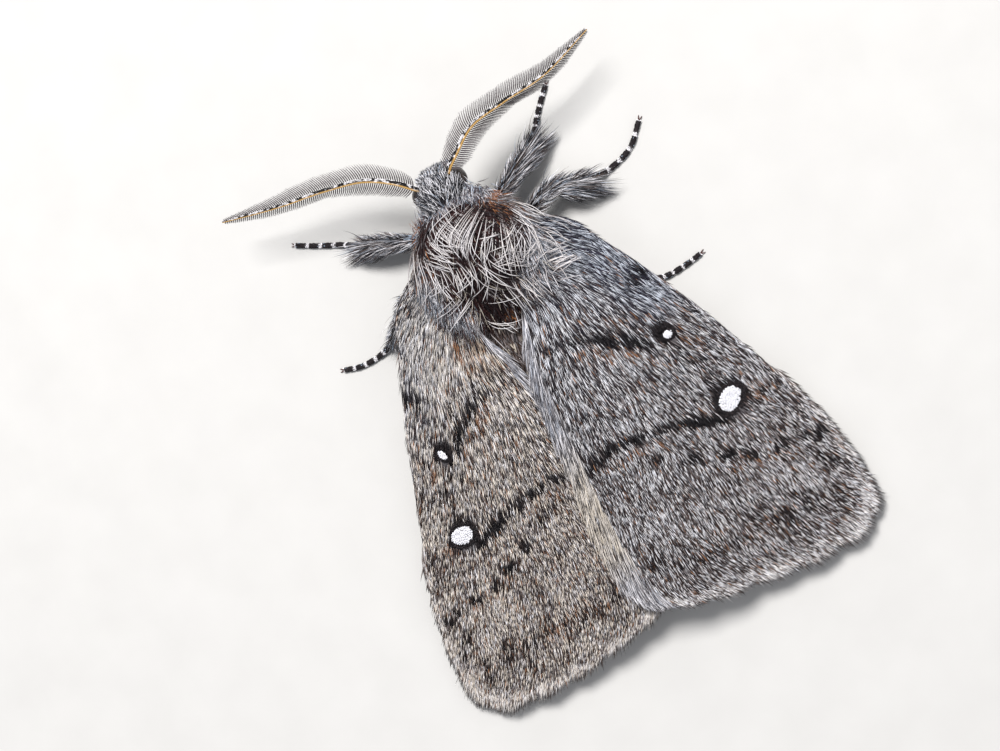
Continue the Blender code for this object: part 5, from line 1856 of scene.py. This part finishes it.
@dataclass
class Antenna:
    """A feather-like antenna: a scaled shaft with a comb of fine rays in front and one behind."""

    side: Side
    places: tuple
    shaft: float = 0.17
    rays: int = 92
    reach: float = 1.3

    def path(self, shares: Array) -> Array:
        """The shaft's middle line."""
        return along(self.places, shares)

    def shaft_parts(self) -> list:
        """The shaft, ochre in front and black above with white scales.

        Returns:
            A list of its one tube.
        """
        share = np.linspace(0, 1, 150)
        radii = self.shaft * (1 - 0.6 * share) * np.minimum(1, 0.75 + share * 40)
        line = self.path(share)
        sides = 12
        turn = np.linspace(0, 2 * np.pi, sides, endpoint=False)
        grid_share, grid_turn = np.meshgrid(share, turn, indexing="ij")
        top = ease(0.6 * np.sin(grid_turn) - 0.8 * self.side.value * np.cos(grid_turn), 0.0, 0.4)
        fleck = noise(np.stack([grid_share * 90, grid_turn * 1.6], axis=-1), 1.0, 131)
        tone = mix(np.broadcast_to(OCHRE, (*fleck.shape, 3)), mix(BLACK, WHITE, (fleck > 0.56) * 0.85), top)
        return [tube(line, radii, tone, sides, np.array((0.02, 0.02, 0.9, 0.3)))]

    def comb(self) -> Strands:
        """The rays: each leaves the shaft sideways and bends towards its tip.

        Returns:
            The strands.
        """
        draw = np.random.default_rng(140 + self.side.value)
        share = np.repeat(np.linspace(0.04, 0.985, self.rays), 2)
        front = np.tile((1.0, -1.0), self.rays)
        here = self.path(share)
        ahead = unit(self.path(np.minimum(share + 0.01, 1)) - self.path(share - 0.01))
        out = unit(np.cross((0.0, 0.0, float(self.side.value)), ahead)) * front[:, None]
        long = np.interp(share, (0, 0.1, 0.25, 0.6, 0.8, 0.93, 1), (0.5, 0.85, 1.0, 0.95, 0.65, 0.35, 0.15))
        reach = self.reach * long
        reach *= draw.uniform(0.97, 1.03, len(share))
        ahead_side = np.interp(share, (0, 0.5, 0.8, 1), (0.92, 0.9, 0.7, 0.6))
        behind_side = np.interp(share, (0, 0.22, 0.45, 0.65, 1), (0.98, 0.85, 0.35, 0.4, 0.6))
        wide = np.where(front > 0, ahead_side, behind_side)
        rise = np.where(front > 0, 0.4, -1.0) * np.sqrt(1 - wide**2)
        step = np.linspace(0, 1, 6)
        bow = (0.5 * step**1.8)[None, :, None] * ahead[:, None]
        level = (rise[:, None] * step - 0.12 * step**2)[..., None] * UP
        way = (wide[:, None] * step)[..., None] * out[:, None] + bow + level
        paths = here[:, None] + reach[:, None, None] * way
        ups = np.broadcast_to(UP, paths.shape)
        tone = mix(colour(58, 50, 54), colour(86, 76, 78), draw.random(len(share)))
        tones = np.stack([tone, mix(tone, GREY, np.full(len(share), 0.2))], axis=1)
        chart = np.stack([0.02 + 0.9 * share, 0.55 + 0.15 * front], axis=-1)
        return Strands(paths, np.full(len(share), 0.1), ups, tones, chart, 0.9, 0.35)

    def bristles(self) -> Strands:
        """Fine hairs along each ray, on both of its sides.

        Returns:
            The strands.
        """
        rays = self.comb()
        draw = np.random.default_rng(150 + self.side.value)
        per_ray = 10
        number = np.repeat(np.arange(len(rays.paths)), per_ray)
        share = draw.uniform(0.08, 0.95, len(number)) * 5
        low = np.floor(share).astype(int)
        part = (share - low)[:, None]
        start = rays.paths[number, low] * (1 - part) + rays.paths[number, low + 1] * part
        ahead = unit(rays.paths[number, low + 1] - rays.paths[number, low])
        across = sideways(ahead) * draw.choice((-1.0, 1.0), len(number))[:, None]
        tip = start + 0.1 * (0.75 * across + 0.6 * ahead + (0, 0, 0.12) * draw.normal(0, 1, (len(number), 1)))
        paths = np.stack([start, (start + tip) / 2, tip], axis=1)
        tone = mix(DARK, GREY, draw.random(len(number)))
        widths, ups = np.full(len(number), 0.022), np.broadcast_to(UP, paths.shape)
        return Strands(paths, widths, ups, shaded(tone, 0.0), rays.chart[number], 0.9)

    def scales(self) -> Strands:
        """Short black and white scales on the shaft's upper side.

        Returns:
            The strands.
        """
        draw = np.random.default_rng(160 + self.side.value)
        count = 900
        share = 0.005 + 0.93 * draw.random(count) ** 1.15
        here = self.path(share)
        ahead = unit(self.path(np.minimum(share + 0.01, 1)) - self.path(np.maximum(share - 0.01, 0)))
        across = sideways(ahead)
        turn = draw.uniform(0.1, 1.55, count)
        away = across * (np.cos(turn) * -float(self.side.value))[:, None] + UP * np.sin(turn)[:, None]
        radius = (self.shaft * (1 - 0.6 * share))[:, None]
        start = here + away * radius * 0.85
        tip = here + away * (radius + 0.04) + ahead * 0.2
        paths = np.stack([start, (start + tip) / 2 + away * 0.03, tip], axis=1)
        white = noise(np.stack([share * 60, turn], axis=-1), 1.0, 161) > 0.5
        tone = np.where(white[:, None], WHITE, BLACK) * draw.uniform(0.7, 1.0, (count, 1))
        chart = np.stack([0.02 + 0.9 * share, 0.85 + 0.03 * turn], axis=-1)
        widths, ups = np.full(count, 0.06), np.repeat(away[:, None], 3, axis=1)
        return Strands(paths, widths, ups, shaded(tone, 0.0), chart, 0.4, 0.4)

    def make(self) -> None:
        """Builds the antenna as one piece."""
        name = "antenna_" + self.side.name.lower()
        parts = self.shaft_parts() + [self.comb().arrays(), self.bristles().arrays(), self.scales().arrays()]
        show(new_mesh(name + "_feather", *joined(parts), HORN), (name,))


# Legs


@dataclass
class Leg:
    """A leg: its hip, knee, ankle and places on the ground in mm, and the length of its hair.

    `bend` is a place on the tibia just past the knee, `fan` the number of long hairs and `close`
    that of the short ones.
    """

    name: str
    hip: tuple
    knee: tuple
    bend: tuple
    ankle: tuple
    ground: tuple
    hair: float
    fan: int = 1200
    close: int = 1500

    def line(self) -> tuple[Array, Array, Array]:
        """The middle line, its radii and, for each place, which length of the leg it is on.

        The femur and the tibia are stout, and the foot has five joints that each narrow and swell.

        Returns:
            Points, radii, and 0 on the femur, 1 on the tibia and from 2 to 3 along the foot.
        """
        knee, bend, ankle = (np.array(place) for place in (self.knee, self.bend, self.ankle))
        upper = along((self.hip, (np.array(self.hip) + knee) / 2 + (0, 0, 0.1), knee), np.linspace(0, 1, 14))
        shin = along((knee, bend, (bend + ankle) / 2, ankle), np.linspace(0, 1, 22))[1:]
        foot = along((ankle, *((*place, 0.19) for place in self.ground)), np.linspace(0, 1, 61))[1:]
        share = np.linspace(0, 1, 60)
        joint = 0.86 + 0.2 * np.abs(np.sin(np.pi * 5 * share)) ** 0.5
        radii = np.concatenate([
            0.34 * np.interp(np.linspace(0, 1, 14), (0, 0.2, 0.8, 1), (0.85, 1, 0.9, 0.75)),
            0.3 * np.interp(np.linspace(0, 1, 21), (0, 0.2, 1), (0.85, 1, 0.8)),
            0.2 * joint * np.interp(share, (0, 1), (1.0, 0.75)),
        ])
        part = np.concatenate([np.zeros(14), np.ones(21), 2 + share])
        points = np.concatenate([upper, shin, foot])
        points[:, 2] = np.maximum(points[:, 2], radii + 0.005)
        return points, radii, part

    def skin(self) -> tuple:
        """The leg's surface, dark with a pale ring at each joint of the foot.

        Returns:
            Points, triangles, tones and chart.
        """
        points, radii, part = self.line()
        share = (part - 2) * 5
        ring = (part >= 2) * np.exp(-((((share + 0.06) % 1) / 0.16) ** 2))
        tone = mix(mix(np.tile(BLACK, (len(points), 1)), DARK, noise(points, 0.3, 171)), WHITE, 0.9 * ring)
        return tube(points, radii, tone, 10, np.array((0.02, 0.02, 0.9, 0.4)))

    def claws(self) -> tuple:
        """The foot's two claws, which curve out and down from its end.

        Returns:
            Points, triangles, tones and chart.
        """
        points = self.line()[0]
        parts = []
        tip, ahead = points[-1], unit(points[-1] - points[-3])
        across = sideways(ahead)
        radii, tones = np.array((0.045, 0.04, 0.03, 0.012)), np.tile(MAROON, (4, 1))
        for sign in (-1, 1):
            apart = np.outer((0.02, 0.07, 0.11, 0.12), sign * across)
            line = tip + np.outer((0, 0.12, 0.24, 0.32), ahead) + apart
            line[:, 2] = (0.12, 0.15, 0.12, 0.04)
            parts.append(tube(line, radii, tones, 6, np.array((0.94, 0.1 + 0.05 * sign, 0.03, 0.04))))
        return joined(parts)

    def fur(self) -> list:
        """Long hair that fans from the tibia, most of it to the rear, and a close coat elsewhere."""
        draw = np.random.default_rng(len(self.name) * 31 + int(abs(self.knee[0]) * 100))
        return [self.long_hair(draw), self.close_coat(draw)]

    def long_hair(self, draw: np.random.Generator) -> Strands:
        """The fan: each hair leaves the leg sideways and bends along it.

        Args:
            draw: random numbers.

        Returns:
            The strands.
        """
        points, radii, _ = self.line()
        count = self.fan
        at = np.interp(draw.random(count), (0, 0.2, 1), (9, 14, 33)).astype(int)
        ahead = unit(np.gradient(points, axis=0))[at]
        rear = np.cross(ahead, UP)
        rear *= np.where(rear[:, 1:2] > 0, -1, 1)
        rear = unit(rear)
        up = unit(np.cross(rear, ahead))
        up *= np.sign(up[:, 2:])
        turn = draw.normal(0.35, 0.75, count)
        front = draw.random(count) < 0.2
        turn = np.where(front, np.pi - turn, turn)
        away = rear * np.cos(turn)[:, None] + up * np.sin(turn)[:, None]
        reach = self.hair * draw.uniform(0.55, 1.0, count) * np.where(front, 0.5, 1.0)
        reach *= 0.65 + 0.35 * ease(at.astype(float), 10, 22)
        share = np.linspace(0, 1, 5)
        start = points[at] + away * radii[at][:, None] * 0.7
        lean = draw.uniform(0.55, 0.95, count)[:, None]
        off = (0.8 * share - 0.25 * share**2)[None, :, None] * away[:, None]
        bent = (lean * (0.45 * share + 0.5 * share**2))[..., None] * ahead[:, None]
        paths = start[:, None] + reach[:, None, None] * (off + bent)
        paths[..., 2] = np.maximum(paths[..., 2] - 0.15 * share, HAIR_FLOOR)
        pick = draw.random(count)
        tone = frosted(draw, pick, 0.26, 0.7, 0.9)
        tone = mix(tone, BLACK, (pick > 0.42) * draw.uniform(0.75, 1.0, count))
        tone = mix(tone, BROWN, (draw.random(count) < 0.2) * 0.7)
        chart = np.stack([0.02 + 0.9 * at / len(points), 0.03 + 0.3 * ((turn / (2 * np.pi)) % 1)], axis=-1)
        widths, ups = draw.uniform(0.04, 0.065, count), np.repeat(away[:, None], 5, axis=1)
        return Strands(paths, widths, ups, shaded(tone, 0.45), chart, 0.8)

    def close_coat(self, draw: np.random.Generator) -> Strands:
        """Short hair all along the leg, shortest on the foot and white at its rings.

        Args:
            draw: random numbers.

        Returns:
            The strands.
        """
        points, radii, part = self.line()
        count = self.close
        at = np.interp(draw.random(count), (0, 0.3, 0.6, 1), (0, 13, 35, 94)).astype(int)
        ahead = unit(np.gradient(points, axis=0))[at]
        side = sideways(ahead)
        turn = draw.uniform(0, 2 * np.pi, count)
        away = side * np.cos(turn)[:, None] + np.cross(side, ahead) * np.sin(turn)[:, None]
        foot = at > 35
        reach = np.where(foot, 0.16, 0.42) * draw.uniform(0.7, 1.2, count)
        start = points[at] + away * radii[at][:, None] * 0.9
        share = np.linspace(0, 1, 3)
        over = np.where(foot, 0.03, 0.12)[:, None] * share**0.7
        run = ahead[:, None] * (reach[:, None] * share)[..., None]
        paths = start[:, None] + run + away[:, None] * over[..., None]
        paths[..., 2] = np.maximum(paths[..., 2], 0.04)
        ring = (((part[at] - 2) * 5 + 0.12) % 1 < 0.24) & foot
        tone = mix(BLACK, DARK, draw.random(count))
        tone = mix(tone, SILVER, (draw.random(count) < np.where(foot, 0.06, 0.35)) * 0.8)
        tone = np.where(ring[:, None], WHITE, tone)
        chart = np.stack([0.02 + 0.9 * at / len(points), 0.03 + 0.36 * (turn / (2 * np.pi))], axis=-1)
        widths, ups = draw.uniform(0.06, 0.1, count), np.repeat(away[:, None], 3, axis=1)
        return Strands(paths, widths, ups, shaded(tone, 0.0), chart, 0.5, 0.3)

    def make(self) -> None:
        """Builds the leg's skin, its claws and its coat."""
        nodes = tuple("%s_%s" % (self.name, part) for part in ("femur", "tibia", "tarsus"))
        show(new_mesh(self.name + "_skin", *self.skin(), SKIN), nodes)
        show(new_mesh(self.name + "_claws", *self.claws(), HORN))
        show(new_mesh(self.name + "_coat", *joined([part.arrays() for part in self.fur()]), HAIR))


# The moth and its studio


def hindwing(side: Side, seed: int) -> Wing:
    """A hindwing, with fewer scales than a forewing and no marks."""
    return Wing(
        "hindwing_" + side.name.lower(), "hindwing", side, HINDWING,
        drop=1.03, layers=HIND_LAYERS, below=3500, pieces=1, marked=False, seed=seed,
    )


@dataclass
class Moth:
    """All pieces in order."""

    wings: tuple = (
        Wing("forewing_right", "forewing", Side.RIGHT, FOREWING, raised=True, seed=1),
        # The left forewing's higher light and warm are painted light: it is drawn paler and creamier than the
        # right one.
        Wing("forewing_left", "forewing", Side.LEFT, FOREWING, light=1.03, warm=0.78, seed=2),
        hindwing(Side.RIGHT, 3),
        hindwing(Side.LEFT, 4),
    )
    antennae: tuple = (
        Antenna(Side.RIGHT, (
            (1.15, 5.75, 5.6), (1.4, 6.0, 5.8), (2.4, 6.7, 6.0), (4.1, 7.75, 6.1), (6.7, 8.15, 5.9),
            (9.8, 8.4, 5.5), (13.9, 9.7, 5.0),
        )),
        Antenna(Side.LEFT, (
            (-0.95, 5.75, 5.6), (-1.2, 6.0, 5.8), (-2.1, 6.9, 6.0), (-3.9, 8.1, 6.1), (-6.6, 8.9, 5.9),
            (-10.2, 9.6, 5.5), (-14.4, 10.7, 5.0),
        )),
    )
    legs: tuple = (
        Leg(
            "leg_front_right", (1.5, 2.2, 2.7), (3.7, 3.6, 2.3), (4.3, 4.0, 2.2), (6.9, 5.6, 0.8),
            ((7.7, 6.8), (8.6, 7.8), (9.3, 8.5)), 2.5,
        ),
        Leg(
            "leg_middle_right", (1.8, 0.3, 2.2), (5.6, 1.8, 2.3), (6.2, 2.0, 2.3), (9.2, 1.2, 0.8),
            ((10.6, 1.25), (12.4, 1.85), (13.8, 3.2)), 2.7,
        ),
        Leg(
            "leg_hind_right", (1.7, -1.7, 2.4), (5.2, -3.6, 1.8), (5.8, -4.0, 1.8), (9.4, -6.9, 0.7),
            ((10.4, -7.15), (11.9, -7.1), (13.2, -6.9)), 1.5,
        ),
        Leg(
            "leg_front_left", (-1.2, 2.2, 2.6), (-4.3, 3.7, 2.3), (-4.9, 4.0, 2.2), (-7.7, 5.1, 0.8),
            ((-8.9, 5.8), (-10.3, 6.5), (-11.9, 7.4)), 2.4,
        ),
        Leg(
            "leg_middle_left", (-1.4, 0.3, 2.3), (-5.4, 0.2, 2.2), (-6.1, 0.1, 2.2), (-8.9, -2.1, 0.7),
            ((-10.3, -2.45), (-11.9, -2.45), (-13.1, -2.1)), 1.9,
        ),
        Leg(
            "leg_hind_left", (-1.3, -1.7, 2.4), (-4.9, -4.0, 1.8), (-5.4, -4.5, 1.7), (-7.6, -8.4, 0.7),
            ((-8.3, -9.6), (-9.1, -11.0), (-9.9, -12.4)), 1.5,
        ),
    )

    def make(self) -> None:
        """Builds every piece in order."""
        Pelt().make()
        for part in (*self.wings, *self.antennae, *self.legs):
            part.make()
        for side in Side:
            self.eye(side)

    def eye(self, side: Side) -> None:
        """A smooth eye, an oval as large as the solids' many-sided one.

        Args:
            side: which eye.
        """
        name = "eye_" + side.name.lower()
        low, high = (np.array(corner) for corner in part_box(name))
        middle, half = ((low + high) / 2 - ORIGIN) / MM, (high - low) / 2 / MM
        rise, turn = np.meshgrid(
            np.linspace(0.05, np.pi - 0.05, 40), np.linspace(0, 2 * np.pi, 56, endpoint=False), indexing="ij"
        )
        way = np.stack([np.cos(rise), np.sin(rise) * np.cos(turn), np.sin(rise) * np.sin(turn)], axis=-1)
        chart = np.stack([rise / np.pi, turn / (2 * np.pi)], axis=-1)
        tones = np.broadcast_to(BLACK, way.shape)
        sheet = Sheet(*(capped(part) for part in (middle + half * way, tones, chart)), round=True)
        show(new_mesh(name + "_dome", *sheet.arrays(), Facets()), (name,))


@dataclass
class Studio:
    """A plain pale floor, soft light, and the camera where the photograph was taken from.

    The camera stands at `camera_at` in the plan, in mm. Each lamp has a name, a place and a
    diameter in metres, and a power in watts.
    """

    camera_at: tuple = (21.235, -7.742, 124.240)
    right: tuple = (0.86355, -0.47455, -0.17052)
    up: tuple = (0.46556, 0.88023, -0.09193)
    lens: float = 64.476
    floor_size: float = 1.5
    sky: float = 0.48
    lamps: tuple = (("key", (0.02, 0.2, 0.38), 0.14, 3.15), ("fill", (0.3, -0.1, 0.3), 0.4, 0.25))

    def floor(self) -> None:
        """A wide flat plate with a faint grain."""
        half = self.floor_size / 2
        mesh = bpy.data.meshes.new("floor")
        edge = [(-half, -half, 0), (half, -half, 0), (half, half, 0), (-half, half, 0)]
        mesh.from_pydata(edge, [], [(0, 1, 2, 3)])
        graph = Graph("pale floor")
        tint = graph.tinted((0.50, 0.495, 0.485, 1), (0.45, 0.445, 0.435, 1), graph.grain(0.004, 3.0))
        graph.feed(graph.shader.inputs["Base Color"], tint)
        graph.shader.inputs["Roughness"].default_value = 0.8
        mesh.materials.append(graph.material)
        plate = bpy.data.objects.new("floor", mesh)
        bpy.context.scene.collection.objects.link(plate)

    def light(self) -> None:
        """Even light from the sky, a large soft lamp high in front of the moth, and a weak one aside."""
        world = bpy.data.worlds.new("sky")
        world.use_nodes = True
        sky = world.node_tree.nodes["Background"]
        sky.inputs["Color"].default_value = (0.9, 0.93, 1.0, 1.0)
        sky.inputs["Strength"].default_value = self.sky
        bpy.context.scene.world = world
        for name, place, size, power in self.lamps:
            lamp = bpy.data.lights.new(name, "AREA")
            lamp.shape = "DISK"
            lamp.size = size
            lamp.energy = power
            lamp.color = (1.0, 0.98, 0.96)
            holder = bpy.data.objects.new(name, lamp)
            back = unit(np.array(place))
            side = unit(np.cross((0, 0, 1.0), back))
            holder.matrix_world = self.pose(side, np.cross(back, side), back, np.array(place))
            bpy.context.scene.collection.objects.link(holder)

    def pose(self, right: Array, up: Array, back: Array, place: Array) -> Matrix:
        """A matrix from three directions and a place.

        Args:
            right: its X axis.
            up: its Y axis.
            back: its Z axis.
            place: where it stands, in metres.

        Returns:
            The matrix.
        """
        turn = np.eye(4)
        turn[:3, 0], turn[:3, 1], turn[:3, 2], turn[:3, 3] = right, up, back, place
        return Matrix(turn.tolist())

    def camera(self) -> None:
        """Looks down on the moth as the photograph does, with no depth of field."""
        lens = bpy.data.cameras.new("camera")
        lens.lens = self.lens
        lens.sensor_width = 36.0
        lens.clip_start = 0.005
        holder = bpy.data.objects.new("camera", lens)
        right, up = np.array(self.right), np.array(self.up)
        place = np.array(self.camera_at) * MM + ORIGIN
        holder.matrix_world = self.pose(right, up, np.cross(right, up), place)
        bpy.context.scene.collection.objects.link(holder)
        bpy.context.scene.camera = holder

    def make(self) -> None:
        """Sets the stage."""
        bpy.context.scene.view_settings.view_transform = "Standard"
        self.floor()
        self.light()
        self.camera()


def corners(box: tuple) -> list:
    """A box's two corners as plain lists."""
    return [list(map(float, corner)) for corner in box]


def main() -> None:
    """Builds the moth in its studio."""
    logging.basicConfig(level=logging.INFO, format="%(message)s")
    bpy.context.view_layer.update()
    Moth().make()
    Studio().make()


if __name__ == "__main__":
    main()
